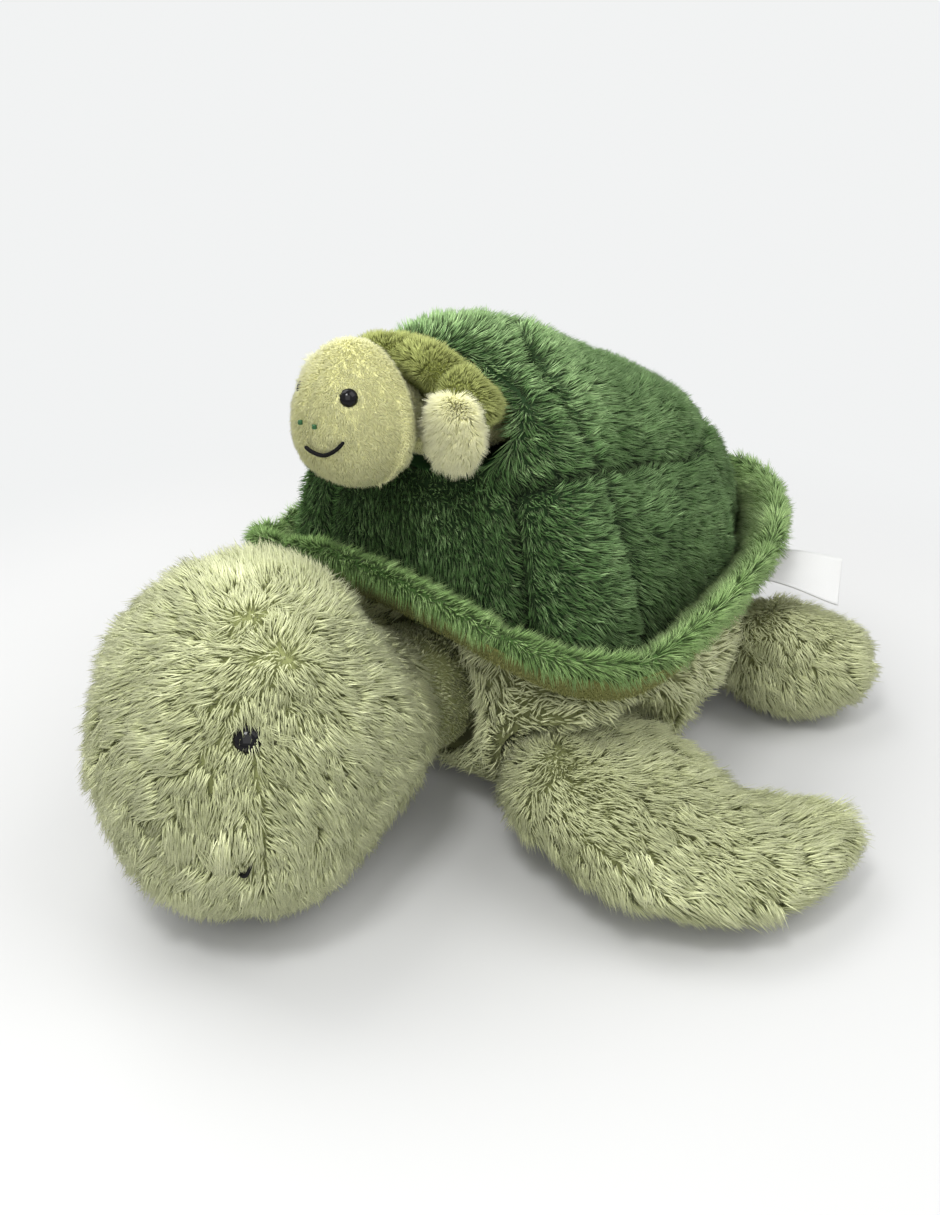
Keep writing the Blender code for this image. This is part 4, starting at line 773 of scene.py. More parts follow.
@dataclass
class Shell:
    """The quilted dome, the stuffed lip round it and the pocket in its front."""

    outline: Outline
    peak_y: float = 168.0
    crown_height: float = 129.0
    plush: float = 4.4
    quilt_depth: float = 4.6
    quilt_width: float = 3.0
    stations: int = 32
    ring_stations: tuple = (2.5, 3.9, 5.3, 8.0, 10.3, 16.0)
    ring_levels: tuple = (2.73, 3.39, 3.68, 3.36, 2.82, 2.7)
    spokes: tuple = (
        ((0.0, 0.53, 1.78, 2.73), (2.95, 2.87, 2.69, 2.5)),
        ((0.0, 1.01, 2.32, 3.68, 5.2, 6.69, 8.0), (6.2, 6.06, 5.62, 5.31, 4.44, 2.69, 1.0)),
        ((0.0, 2.8), (12.5, 11.5)),
    )
    front: tuple = (
        (1.0, 1.0, 0.98, 0.92, 0.78, 0.60, 0.40, 0.20, 0.0),
        (0.0, 0.20, 0.42, 0.65, 0.84, 0.93, 0.98, 1.0, 1.0),
    )
    side: tuple = (
        (1.0, 0.97, 0.89, 0.78, 0.66, 0.50, 0.33, 0.16, 0.0),
        (0.0, 0.18, 0.38, 0.54, 0.66, 0.80, 0.90, 0.975, 1.0),
    )
    back: tuple = (
        (1.0, 0.97, 0.91, 0.80, 0.66, 0.50, 0.33, 0.16, 0.0),
        (0.0, 0.17, 0.36, 0.51, 0.62, 0.71, 0.80, 0.91, 1.0),
    )
    rim_reach: float = 17.0
    rim_rise: float = 24.0
    rim_half_thickness: float = 7.5
    rim_out: float = 2.4
    rim_end_round: float = 2.6
    pocket_y: float = 104.0
    pocket_z: float = 191.0
    pocket_tilt: float = math.radians(8.0)
    pocket_depth: float = 82.0
    pocket_half_width: float = 43.0
    pocket_half_height: float = 22.0
    pocket_lining: float = 1.5
    pocket_lead: float = 40.0
    dome_pile: Pile = Pile(
        62000, 6.4, 0.68, rise_angle=36.0, lay_angle=62.0, swirl=26.0,
        clump_size=3.8, clump_pull=0.4, bent=False, seed=11,
    )
    rim_pile: Pile = Pile(
        34000, 7.5, 0.68, rise_angle=30.0, lay_angle=58.0, swirl=14.0,
        clump_size=4.0, clump_pull=0.35, bent=False, seed=12,
    )
    band_pile: Pile = Pile(
        12000, 1.8, 0.5, rise_angle=35.0, lay_angle=45.0, clump_size=2.5, clump_pull=0.3, bent=False, seed=13
    )

    def crown(self) -> tuple[Surface, Array, Array]:
        """The dome's outer surface, with its share round the outline and its level at each point."""
        ball, faces = unit_ball(192, 120)
        share = np.mod(np.arctan2(ball[:, 0], -ball[:, 1]) / (2.0 * math.pi), 1.0)
        polar = np.arccos(np.clip(ball[:, 2], -1.0, 1.0)) / math.pi
        level = np.clip(8.0 * (1.0 - polar / 0.84), 0.0, 8.0)
        inward = np.clip((polar - 0.84) / 0.16, 0.0, 1.0)
        edge = self.outline.at(share)
        half = np.minimum(share, 1.0 - share) * 2.0
        front = np.maximum(0.0, 1.0 - half / 0.42) ** 0.8
        back = np.maximum(0.0, (half - 0.45) / 0.55)
        weights = (front, 1.0 - front - back, back)
        tables = (self.front, self.side, self.back)
        out, rise = (
            sum(weight * along(table[k], level / 8.0) for weight, table in zip(weights, tables))
            for k in (0, 1)
        )
        out = out * (1.0 - inward)
        x, y = edge[:, 0] * out, self.peak_y + (edge[:, 1] - self.peak_y) * out
        base = self.outline.height(edge[:, 0], edge[:, 1])
        peak_z = self.outline.height(np.zeros(1), np.array([self.peak_y]))[0] + self.crown_height
        z = base + (peak_z - base) * rise
        z = np.where(inward > 0.0, self.outline.height(x, y) + 1.0, z)
        return facing_out(Surface(np.stack([x, y, z], axis=1), faces)), share, level

    def seam_distance(self, share: Array, level: Array) -> Array:
        """How far a point of the dome is from the quilting, in millimetres."""
        station = np.minimum(share, 1.0 - share) * self.stations
        found = np.abs(level - np.interp(station, self.ring_stations, self.ring_levels)) * 19.0
        found += np.maximum(0.0, self.ring_stations[0] - station) * 40.0
        round_size = 20.0 * np.interp(level, (0.0, 4.0, 8.0), (1.0, 0.7, 0.05))
        for levels, stations in self.spokes:
            away = np.abs(station - np.interp(level, levels, stations)) * round_size
            found = np.minimum(found, away + np.maximum(0.0, level - levels[-1]) * 40.0)
        return found

    def pocket_axis(self) -> tuple[Array, Array]:
        """The pocket's inward and upward directions."""
        c, s = math.cos(self.pocket_tilt), math.sin(self.pocket_tilt)
        return np.array((0.0, c, -s)), np.array((0.0, s, c))

    def pocket_place(self, inward: float, x: float = 0.0, rise: float = 0.0) -> Array:
        """A point of the pocket: so far in from its mouth, to its left and above its axis."""
        axis, up = self.pocket_axis()
        return np.array((x, self.pocket_y, self.pocket_z)) + axis * inward + up * rise

    def pocket(self, grow_by: float) -> Surface:
        """The space inside the pocket, grown by a distance."""
        spine = [self.pocket_place(self.pocket_depth * i / 2.0) for i in range(3)]
        form = Form(
            spine, [self.pocket_half_width] * 3, [self.pocket_half_height] * 3, self.pocket_lead, blunt=3.0,
            segments=48, rings=40,
        )
        return form.surface().moved(grow_by)

    def build(self, wardrobe: Wardrobe) -> None:
        """Makes the dome, the lip, the band under it and the pocket's lining."""
        self.make_dome(wardrobe)
        self.make_rim(wardrobe)
        self.make_lining(wardrobe)

    def make_dome(self, wardrobe: Wardrobe) -> None:
        """The quilted dome with its long pile."""
        surface, share, level = self.crown()
        seam = self.seam_distance(share, level)
        groove = self.quilt_depth * np.exp(-(seam / self.quilt_width) ** 2)
        swell = 2.0 * smooth(seam, 3.0, 22.0) + 1.0 * wander(surface.points, 60.0, 3)
        swell += 9.0 * np.exp(-((np.linalg.norm(surface.points - (-18.0, 128.0, 218.0), axis=1) / 34.0) ** 2))
        swell -= 4.0 * np.exp(-((np.linalg.norm(surface.points - (0.0, 195.0, 232.0), axis=1) / 42.0) ** 2))
        depth = np.where(level > 0.0, -self.plush - groove + swell - 1.0, -1.0)
        skin = surface.moved(depth)
        points = skin.points.copy()
        floor = self.outline.height(points[:, 0], points[:, 1]) + 1.0
        points[:, 2] = np.maximum(points[:, 2], floor)
        skin = Surface(points, skin.faces)
        tree = BVHTree.FromPolygons(surface_list(skin.points), skin.faces.tolist())
        pocket = self.pocket(self.pocket_lining + 0.4)
        hollow = cut_away(skin, [pocket])
        coat = Coat()
        parameters = KDTree(len(skin.points))
        for number, point in enumerate(skin.points):
            parameters.insert(point, number)
        parameters.balance()
        outer = outer_faces(hollow, tree)

        def seam_at(points: Array) -> Array:
            found = np.fromiter((parameters.find(point)[1] for point in points), int, len(points))
            return seam[found]

        # The skin darkens along the quilting grooves: painted shade.
        coat.skin(hollow, 0.4 - 0.5 * np.exp(-((seam_at(hollow.points) / 3.0) ** 2)))

        def mouth_edge(points: Array) -> tuple[Array, Array]:
            axis, up = self.pocket_axis()
            aside = points - self.pocket_place(0.0)
            aside = aside - (aside @ axis)[:, None] * axis
            reach = np.hypot(aside[:, 0] / self.pocket_half_width, aside @ up / self.pocket_half_height)
            return np.exp(-(((reach - 1.0) / 0.2) ** 2)) * (points[:, 1] < 125.0), aside

        def weight(points: Array) -> Array:
            edge = points[:, 2] - self.outline.height(points[:, 0], points[:, 1])
            return smooth(edge, 1.5, 8.0)

        def trim(points: Array) -> Array:
            return 0.4 + 0.6 * smooth(seam_at(points), 0.5, 4.0) + 0.6 * mouth_edge(points)[0]

        # Painted shade: fibres darker along the quilting grooves. Painted highlight: fibres lighter and paler
        # towards the dome's top.
        def tint(points: Array) -> Array:
            return -0.45 * np.exp(-(seam_at(points) / 2.2) ** 2) + 0.24 * smooth(points[:, 2], 165.0, 232.0)

        def comb(points: Array, normals: Array) -> Array:
            front = smooth(-normals[:, 1], 0.35, 0.75)
            ways = np.tile((0.0, 0.75, -0.5), (len(points), 1)) * (1.0 - front)[:, None]
            ways[:, 0] += front + 0.35 * wander(points, 60.0, 21)
            ways[:, 1] += 0.35 * wander(points, 70.0, 22)
            ways[:, 2] -= 0.25 * front
            near, aside = mouth_edge(points)
            return ways - unit(aside) * near[:, None] * 1.4

        grow(coat, outer, self.dome_pile, comb, weight, trim, tint)
        made = coat.piece("shell_cover_plush")
        wardrobe.put_on(made, GREEN)
        hand_over(made, "torso", ["shell_cover", "shell_wadding"])

    def lip(self, inset: float, angles: Array) -> Array:
        """Points (outward, upward) round the lip's section, a distance inside its surface."""
        middle_n, middle_z = self.rim_reach * 0.5 + self.rim_out, self.rim_rise * 0.5 + 0.4
        half_long = math.hypot(self.rim_reach, self.rim_rise) * 0.5 + self.rim_end_round - inset
        slant = math.atan2(self.rim_rise, self.rim_reach)
        a, b = half_long * np.cos(angles), (self.rim_half_thickness - inset) * np.sin(angles)
        return np.stack([
            middle_n + a * math.cos(slant) - b * math.sin(slant),
            middle_z + a * math.sin(slant) + b * math.cos(slant),
        ], axis=1)

    def ring(self, section: Array, stations: int, pinch: Callable[[Array], Array] | None = None) -> Surface:
        """A closed ring round the shell with one section of (outward, upward) points."""
        shares = np.arange(stations) / stations
        edge, outward = self.outline.at(shares), self.outline.outward(shares)
        base = np.column_stack([edge, self.outline.height(edge[:, 0], edge[:, 1])])
        middle = section.mean(axis=0)
        size = np.ones(stations) if pinch is None else pinch(shares)
        spots = middle + (section - middle)[None] * size[:, None, None]
        points = base[:, None] + outward[:, None] * spots[:, :, :1] + UP * spots[:, :, 1:]
        count = len(section)
        k, i = np.meshgrid(np.arange(stations), np.arange(count), indexing="ij")
        one, two = k * count + i, k * count + (i + 1) % count
        three, four = (k + 1) % stations * count + (i + 1) % count, (k + 1) % stations * count + i
        faces = np.concatenate([
            np.stack([one, two, three], axis=-1).reshape(-1, 3),
            np.stack([one, three, four], axis=-1).reshape(-1, 3),
        ])
        return facing_out(Surface(points.reshape(-1, 3), faces))

    def ring_side(self, ring: Surface, count: int, outer: int) -> Surface:
        """The part of a ring between the first points of its section.

        Args:
            ring: the ring.
            count: how many points its section has.
            outer: how many of them lie on the wanted side.

        Returns:
            The ring with the faces of that side alone.
        """
        place = np.arange(len(ring.faces)) % count
        return Surface(ring.points, ring.faces[place < outer - 1])

    def pinch(self, shares: Array) -> Array:
        """The lip's thickness along its length: it puckers where its strips are joined."""
        size = 1.0 + 0.05 * np.sin(shares * 2.0 * math.pi * 9.0 + 1.3) * np.sin(shares * 2.0 * math.pi * 5.0)
        for place in (0.09, 0.156, 0.91, 0.844, 0.5, 0.33, 0.67):
            size -= 0.34 * np.exp(-(((shares - place) / 0.008) ** 2))
        return size

    def make_rim(self, wardrobe: Wardrobe) -> None:
        """The fluffy lip and the band of velour under it."""
        angles = np.radians(np.linspace(-52.0, 172.0, 25))
        section = np.concatenate([self.lip(2.2, angles), self.lip(4.6, angles)[::-1]])
        cover = self.ring(section, 384, self.pinch)
        outer = self.ring_side(cover, len(section), len(angles))
        coat = Coat()
        coat.skin(cover, np.full(len(cover.points), 0.4))

        def comb(points: Array, normals: Array) -> Array:
            crest = self.lip_crest(points)
            run = unit(np.cross(UP, points - np.array((0.0, 205.0, 0.0))))
            return unit(points - crest) + run * 0.55 - UP * 0.3

        grow(coat, outer, self.rim_pile, comb, everywhere, tint=lambda points: 0.06 * wander(points, 50.0, 5))
        made = coat.piece("rim_cover_plush")
        wardrobe.put_on(made, RIM)
        hand_over(made, "torso", ["rim_cover", "rim_wadding"])
        low = np.radians(np.linspace(-176.0, -56.0, 15))
        section = np.concatenate([self.lip(1.2, low), self.lip(2.4, low)[::-1]])
        band = self.ring(section, 320)
        outward = self.ring_side(band, len(section), len(low))
        coat = Coat()
        coat.skin(band, np.full(len(band.points), 0.5))
        grow(coat, outward, self.band_pile, lambda p, n: np.tile((0.2, 0.3, -1.0), (len(p), 1)), everywhere)
        made = coat.piece("rim_underside_velour")
        wardrobe.put_on(made, OLIVE)
        hand_over(made, "torso", ["rim_underside"])

    def lip_crest(self, points: Array) -> Array:
        """The top of the lip beside each point."""
        spot = self.lip(6.0, np.zeros(1))[0]
        shares = np.arange(256) / 256.0
        edge, outward = self.outline.at(shares), self.outline.outward(shares)
        base = np.column_stack([edge, self.outline.height(edge[:, 0], edge[:, 1])])
        line = base + outward * spot[0] + UP * spot[1]
        return line[nearest(line, points)]

    def make_lining(self, wardrobe: Wardrobe) -> None:
        """The bag of cloth sewn into the slit."""
        inner = self.pocket(0.0)
        outer = self.pocket(self.pocket_lining - 0.3)
        crown, _, _ = self.crown()
        tree = BVHTree.FromPolygons(surface_list(crown.points), crown.faces.tolist())
        inside = np.array([
            (Vector(point) - tree.find_nearest(point)[0]).dot(tree.find_nearest(point)[1]) < -self.plush
            for point in surface_list(inner.points)
        ])
        keep = inside[inner.faces].all(axis=1)
        faces = inner.faces[keep]
        edges = np.concatenate([faces[:, [0, 1]], faces[:, [1, 2]], faces[:, [2, 0]]])
        lookup = {tuple(edge) for edge in edges.tolist()}
        rim = np.array([edge for edge in edges.tolist() if (edge[1], edge[0]) not in lookup])
        count = len(inner.points)
        sides = np.concatenate([
            np.column_stack([rim[:, 0], rim[:, 1], rim[:, 1] + count]),
            np.column_stack([rim[:, 0], rim[:, 1] + count, rim[:, 0] + count]),
        ])
        faces = np.concatenate([faces[:, ::-1], faces + count, sides])
        points = np.concatenate([inner.points, outer.points])
        used, faces = np.unique(faces, return_inverse=True)
        made = write_mesh("pocket_lining_cloth", points[used], faces.reshape(-1, 3))
        wardrobe.put_on(made, LINING)
        hand_over(made, "torso", ["pocket_lining"])


def surface_list(points: Array) -> list[tuple[float, float, float]]:
    """Points as plain tuples, which Blender's trees read."""
    return [tuple(point) for point in points.tolist()]


def cast_ray(tree: BVHTree, centre: Sequence, turn: float, rise: float) -> tuple[Array, Array]:
    """Where a ray from inside a surface meets it, and the outward direction there.

    Args:
        tree: the surface.
        centre: where the ray starts.
        turn: its angle to the left of straight ahead.
        rise: its angle above the level.

    Returns:
        The place and the direction.
    """
    way = np.array((math.sin(turn) * math.cos(rise), -math.cos(turn) * math.cos(rise), math.sin(rise)))
    place, normal, _, _ = tree.ray_cast(Vector(centre), Vector(way))
    normal = np.array(normal)
    return np.array(place), normal if normal @ way > 0.0 else -normal


def turned(profile: Sequence, sides: int = 48) -> tuple[Array, Array]:
    """The points and triangles of a turned form about +Z.

    Args:
        profile: (radius, height) points, of which the first and the last lie on the axis.
        sides: how many points it has round its axis.

    Returns:
        Its points and its triangles.
    """
    angles = np.arange(sides) / sides * 2.0 * math.pi
    rows = [np.array([(0.0, 0.0, profile[0][1])])]
    for reach, height in profile[1:-1]:
        rows.append(np.stack([reach * np.cos(angles), reach * np.sin(angles), np.full(sides, height)], axis=1))
    rows.append(np.array([(0.0, 0.0, profile[-1][1])]))
    points = np.concatenate(rows)
    faces, last = [], len(points) - 1
    for i in range(sides):
        j = (i + 1) % sides
        faces += [(0, 1 + i, 1 + j), (last, last - sides + j, last - sides + i)]
        for row in range(len(rows) - 3):
            a, b = 1 + row * sides + i, 1 + row * sides + j
            faces += [(a, a + sides, b + sides), (a, b + sides, b)]
    return points, np.array(faces)


def outer_faces(surface: Surface, tree: BVHTree) -> Surface:
    """Only the faces of a cut surface that lie on what it was cut from."""
    middles = surface.points[surface.faces].mean(axis=1)
    found = np.array([tree.find_nearest(point)[3] for point in surface_list(middles)])
    return Surface(surface.points, surface.faces[found < 0.05])


# Body and limbs -------------------------------------------------------------------------------------------


@dataclass
class Head:
    """The big turtle's head and neck, with its eyes and mouth."""

    pivot: tuple = (0.0, 94.0, 57.0)
    neck_radius: float = 38.0
    centre: tuple = (-6.0, 5.0, 75.0)
    half_width: float = 74.0
    half_height: float = 76.5
    reach: float = 76.0
    turn: float = math.radians(19.0)
    width_shares: tuple = (0.52, 0.58, 0.79, 0.98, 1.10, 1.22, 1.32, 1.40, 1.44)
    height_shares: tuple = (0.50, 0.51, 0.70, 1.07, 1.19, 1.26, 1.32, 1.38, 1.42)
    drop_share: float = 0.06
    plush: float = 7.5
    eye_radius: float = 6.0
    eye_crown: float = 4.0
    eye_sinks: tuple = (6.2, 8.5)
    eye_angles: tuple = (math.radians(33.0), math.radians(30.0))
    eye_cover: tuple = (0.8, 1.0)
    mouth_angles: tuple = ((-9.0, -21.0), (2.0, -24.0), (13.0, -23.0), (23.0, -17.0), (31.0, -8.0))
    mouth_depth: float = 5.5
    mouth_shown: float = 0.93
    whorl: tuple = (38.0, -7.0, 135.8)
    ruffle: tuple = (22.4, -5.7, 144.7)
    parting: tuple = ((52.0, -35.0, 103.5), (54.5, -40.9, 78.0), (48.0, -46.0, 55.0))
    snout_seam: tuple = ((18.0, -64.0, 96.0), (20.0, -70.0, 75.0), (18.0, -62.0, 40.0))
    pile: Pile = Pile(58000, 10.5, 0.62, swirl=30.0, clump_size=6.0, clump_pull=0.3, seed=21)

    def form(self) -> Form:
        """The head with its neck: nearly a ball, turned to the turtle's left."""
        facing = np.array((math.sin(self.turn), -math.cos(self.turn), 0.0))
        pivot, centre = np.array(self.pivot), np.array(self.centre)
        nose = centre + facing * self.reach - UP * self.reach * self.drop_share
        spine = [pivot, (pivot + centre) / 2.0, centre, (centre + nose) / 2.0, nose]
        widths = [self.neck_radius] + [self.half_width * share for share in self.width_shares[1:]]
        heights = [self.neck_radius] + [self.half_height * share for share in self.height_shares[1:]]
        return Form(spine, widths, heights, self.neck_radius, calm=0.5, segments=96, rings=80)

    def ray(self, tree: BVHTree, side: float, rise: float) -> tuple[Array, Array]:
        """A point of the head's surface at a side and a rise angle from its heading, and its normal."""
        return cast_ray(tree, self.centre, self.turn + side, rise)

    def mouth_path(self, tree: BVHTree) -> tuple[Array, Array]:
        """The mouth's stitches, mostly sunk in the pile, and how far each point of them shows."""
        shares = np.linspace(0.0, 1.0, 49)
        spots = [self.ray(tree, *pair) for pair in along(np.radians(self.mouth_angles), shares)]
        places, normals = (np.array(part) for part in zip(*spots))
        shown = np.exp(-(((shares - self.mouth_shown) / 0.06) ** 2))
        seam = np.exp(-((line_distance(places, self.snout_seam) / 7.0) ** 2))
        depth = self.mouth_depth * (1.0 - 0.85 * shown + 0.8 * seam)
        return places - normals * depth[:, None], shown

    def build(self, wardrobe: Wardrobe) -> None:
        """Makes the head, its eyes, its mouth and the plug in its neck."""
        surface = self.form().surface()
        tree = BVHTree.FromPolygons(surface_list(surface.points), surface.faces.tolist())
        eyes = {side: self.ray(tree, self.eye_angles[0] * side.value, self.eye_angles[1]) for side in Side}
        skin = surface.moved(-self.plush + 1.3 * wander(surface.points, 55.0, 31))
        seam = line_distance(skin.points, self.snout_seam)
        skin = skin.moved(-4.5 * np.exp(-(seam / 6.0) ** 2)).above(0.6)
        coat = Coat()
        coat.skin(skin, np.full(len(skin.points), 0.4))
        whorl, ruffle, pivot = np.array(self.whorl), np.array(self.ruffle), np.array(self.pivot)
        stitches, shown = self.mouth_path(tree)
        bare = stitches[int(np.argmax(shown))] + UP * 3.0

        def weight(points: Array) -> Array:
            thick = 0.6 + 0.4 * smooth(np.linalg.norm(points - pivot, axis=1), 32.0, 44.0)
            for cover, (place, _) in zip(self.eye_cover, eyes.values()):
                near = smooth(np.linalg.norm(points - place, axis=1), 4.5, 8.0)
                thick = thick * (cover + (1.0 - cover) * near)
            return thick * (0.1 + 0.9 * smooth(np.linalg.norm(points - bare, axis=1), 2.0, 5.0))

        def trim(points: Array) -> Array:
            left = np.ones(len(points))
            for place, _ in eyes.values():
                left *= 0.85 + 0.15 * smooth(np.linalg.norm(points - place, axis=1), 6.0, 12.0)
            left *= 0.6 + 0.4 * smooth(line_distance(points, self.snout_seam), 1.0, 8.0)
            left *= 0.45 + 0.55 * smooth(np.linalg.norm(points - bare, axis=1), 4.0, 11.0)
            left *= 0.78 + 0.22 * smooth(np.linalg.norm(points - ruffle, axis=1), 10.0, 26.0)
            left *= 0.35 + 0.65 * smooth(np.linalg.norm(points - pivot, axis=1), 34.0, 58.0)
            return left * (0.55 + 0.45 * smooth(points[:, 2], 4.0, 22.0))

        # The fibres darken along the snout seam: painted shade in its valley.
        def tint(points: Array) -> Array:
            near = np.exp(-(np.linalg.norm(points - ruffle, axis=1) / 16.0) ** 2)
            return 0.05 * near - 0.3 * np.exp(-(line_distance(points, self.snout_seam) / 4.0) ** 2)

        def comb(points: Array, normals: Array) -> Array:
            ways = unit(points - whorl)
            near = np.exp(-(np.linalg.norm(points - ruffle, axis=1) / 15.0) ** 2)[:, None]
            twist = np.stack([wander(points, 14.0, seed) for seed in (41, 42, 43)], axis=1)
            side = np.sign(points[:, :1] * 0.6 + points[:, 1:2] * 0.8 - (52.0 * 0.6 - 38.0 * 0.8))
            close = np.exp(-(line_distance(points, self.parting) / 12.0) ** 2)[:, None]
            apart = np.array((0.75, 0.6, 0.0)) * side
            return ways * (1.0 - near) + twist * near * 1.6 + apart * close * 0.9 - UP * 0.25

        grow(coat, skin, self.pile, comb, weight, trim, tint)
        made = coat.piece("head_plush")
        wardrobe.put_on(made, SAGE)
        hand_over(made, "head", ["head_skin", "head_filling"])
        for sink, (side, (place, normal)) in zip(self.eye_sinks, eyes.items()):
            name = f"eye_{side.label}_button"
            eye = button(name, place, normal, self.eye_radius, self.eye_crown, sink, 2.0, 9.5)
            wardrobe.put_on(eye, EYE)
            hand_over(eye, "head", [f"eye_{side.label}"])
            wardrobe.put_on(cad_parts[f"eye_{side.label}_washer"], NYLON)
        mouth = stitched("mouth_thread", stitches, 0.9)
        wardrobe.put_on(mouth, THREAD)
        hand_over(mouth, "head", ["mouth_stitches"])
        ball, faces = unit_ball(40, 28)
        plug = Surface(ball * (self.neck_radius - 9.5) + self.pivot, faces)
        plug = plug.moved(0.5 * wander(plug.points, 9.0, 33))
        made = write_mesh("neck_plug_fibre", plug.points, plug.faces)
        wardrobe.put_on(made, FIBRE)
        hand_over(made, "neck", ["neck_filling"])


def button(
    name: str, place: Array, normal: Array, radius: float, crown: float, sink: float, shank: float,
    length: float,
) -> bpy.types.Object:
    """A turned safety eye: a domed button on a shank.

    Args:
        name: the object's name.
        place: the point of the head's outer surface over it.
        normal: the outward direction there.
        radius: the button's radius.
        crown: the dome's height.
        sink: how far under the outer surface the button sits.
        shank: the shank's radius.
        length: the shank's length.

    Returns:
        The eye's object.
    """
    curve = np.linspace(0.0, math.pi / 2.0, 14)
    profile = [(radius * math.sin(t), crown * math.cos(t) - sink) for t in curve]
    edge, end = -sink - 0.35, -sink - length
    profile += [(radius * 0.97, edge), (shank, edge), (shank, end), (0.0, end)]
    turn = np.array(Vector(normal).to_track_quat("Z", "Y").to_matrix())
    points, faces = turned(profile)
    surface = facing_out(Surface(points @ turn.T + place, faces))
    made = write_mesh(name, surface.points, surface.faces)
    made.data.set_sharp_from_angle(angle=math.radians(50.0))
    return made


def stitched(name: str, path: Array, radius: float, sides: int = 10) -> bpy.types.Object:
    """A thread of satin stitches along a path: a tube with a fine slanting rib.

    Args:
        name: the object's name.
        path: the points that it follows.
        radius: its radius.
        sides: how many points it has round its section.

    Returns:
        The thread's object.
    """
    run = np.concatenate([[0.0], np.cumsum(np.linalg.norm(np.diff(path, axis=0), axis=1))])
    count = max(12, int(run[-1] / 0.28))
    fine = along(path, np.linspace(0.0, 1.0, count))
    tangent = unit(np.gradient(fine, axis=0))
    wide = unit(np.cross(tangent, UP))
    high = np.cross(wide, tangent)
    angles = np.arange(sides) / sides * 2.0 * math.pi
    rib = 1.0 + 0.10 * np.sin(np.arange(count)[:, None] * 2.4 + angles[None])
    ends = np.sqrt(np.clip(1.0 - (2.0 * np.linspace(0.0, 1.0, count) - 1.0) ** 12, 0.05, 1.0))
    size = (rib * ends[:, None] * radius)[:, :, None]
    spokes = wide[:, None] * np.cos(angles)[None, :, None] + high[:, None] * np.sin(angles)[None, :, None]
    points = (fine[:, None] + spokes * size).reshape(-1, 3)
    points = np.concatenate([points, fine[:1] - tangent[:1] * 0.2, fine[-1:] + tangent[-1:] * 0.2])
    faces = []
    for k in range(count - 1):
        for i in range(sides):
            a, b = k * sides + i, k * sides + (i + 1) % sides
            faces += [(a, b, b + sides), (a, b + sides, a + sides)]
    first, last = count * sides, count * sides + 1
    for i in range(sides):
        j = (i + 1) % sides
        faces += [(first, j, i), (last, (count - 1) * sides + i, (count - 1) * sides + j)]
    surface = facing_out(Surface(points, np.array(faces)))
    return write_mesh(name, surface.points, surface.faces)


@dataclass
class Flipper:
    """One flipper of the big turtle: a bowed paddle whose root turns in the body's socket."""

    kind: str
    side: Side
    pivot: tuple
    tip: tuple
    bow: tuple
    widths: tuple
    heights: tuple
    blunt: float
    swings: tuple
    spare: float
    whorl: tuple
    pile: Pile
    plush: float = 7.0

    def form(self) -> Form:
        """The paddle's form."""
        flip = np.array((self.side.value, 1.0, 1.0))
        root, end, bend = (np.array(point) * flip for point in (self.pivot, self.tip, self.bow))
        spine = [root, root + (end - root) / 3.0 + bend * 0.6, root + (end - root) * 2.0 / 3.0 + bend, end]
        across = np.cross(UP, unit(end - root))
        return Form(spine, self.widths, self.heights, self.heights[0], across, self.blunt, calm=0.5)

    def swing_room(self, spare: float) -> Surface:
        """The room that the flipper needs in the body as it swings."""
        form = self.form()
        form.segments, form.rings = 16, 14
        rough = form.surface().moved(self.spare + spare)
        root = np.array(form.spine[0], float)
        axis = form.frames(np.zeros(1))[2][0]
        clouds = []
        for angle in self.swings:
            turn = np.array(Matrix.Rotation(math.radians(angle), 3, Vector(axis)))
            clouds.append((rough.points - root) @ turn.T + root)
        return hull_of(np.concatenate(clouds))

    def build(self, wardrobe: Wardrobe) -> None:
        """Makes the flipper's plush."""
        surface = self.form().surface()
        skin = surface.moved(-self.plush + 1.1 * wander(surface.points, 48.0, 51)).above(0.6)
        coat = Coat()
        coat.skin(skin, np.full(len(skin.points), 0.15))
        flip = np.array((self.side.value, 1.0, 1.0))
        whorl, pivot = np.array(self.whorl) * flip, np.array(self.pivot) * flip
        tip = np.array(self.tip) * flip

        def weight(points: Array) -> Array:
            inner = np.linalg.norm(points - pivot, axis=1)
            sunk = (points - pivot) @ unit(tip - pivot)
            return np.where(sunk < -24.0, 0.1, 1.0) * smooth(inner, 10.0, 16.0)

        def trim(points: Array) -> Array:
            near = np.exp(-(np.linalg.norm(points - whorl, axis=1) / 12.0) ** 2)
            return (1.0 - 0.3 * near) * (0.55 + 0.45 * smooth(points[:, 2], 3.0, 18.0))

        def comb(points: Array, normals: Array) -> Array:
            near = np.exp(-(np.linalg.norm(points - whorl, axis=1) / 11.0) ** 2)[:, None]
            twist = np.stack([wander(points, 12.0, seed) for seed in (61, 62, 63)], axis=1)
            away = unit(points - whorl) * (1.0 - 0.5 * near)
            return away + unit(tip - pivot) * 0.45 + twist * near - UP * 0.12

        grow(coat, skin, self.pile, comb, weight, trim)
        name = f"{self.kind}_flipper_{self.side.label}"
        made = coat.piece(f"{name}_plush")
        wardrobe.put_on(made, SAGE)
        hand_over(made, name, [f"{name}_skin", f"{name}_filling"])


def front_flipper(side: Side) -> Flipper:
    """A front flipper: a long paddle swept back."""
    return Flipper(
        "front", side, (83.0, 108.0, 42.0), (191.0, 184.0, 25.0), (6.0, -26.0, -6.0),
        (44.0, 59.0, 56.0, 50.0, 44.0), (28.0, 30.0, 28.0, 26.0, 24.0), 2.5, (-23.0, -4.0, 15.0), 1.3,
        (92.0, 96.0, 68.0),
        Pile(25000, 10.5, 0.62, swirl=28.0, clump_size=6.0, clump_pull=0.3, seed=31 + side.value),
    )


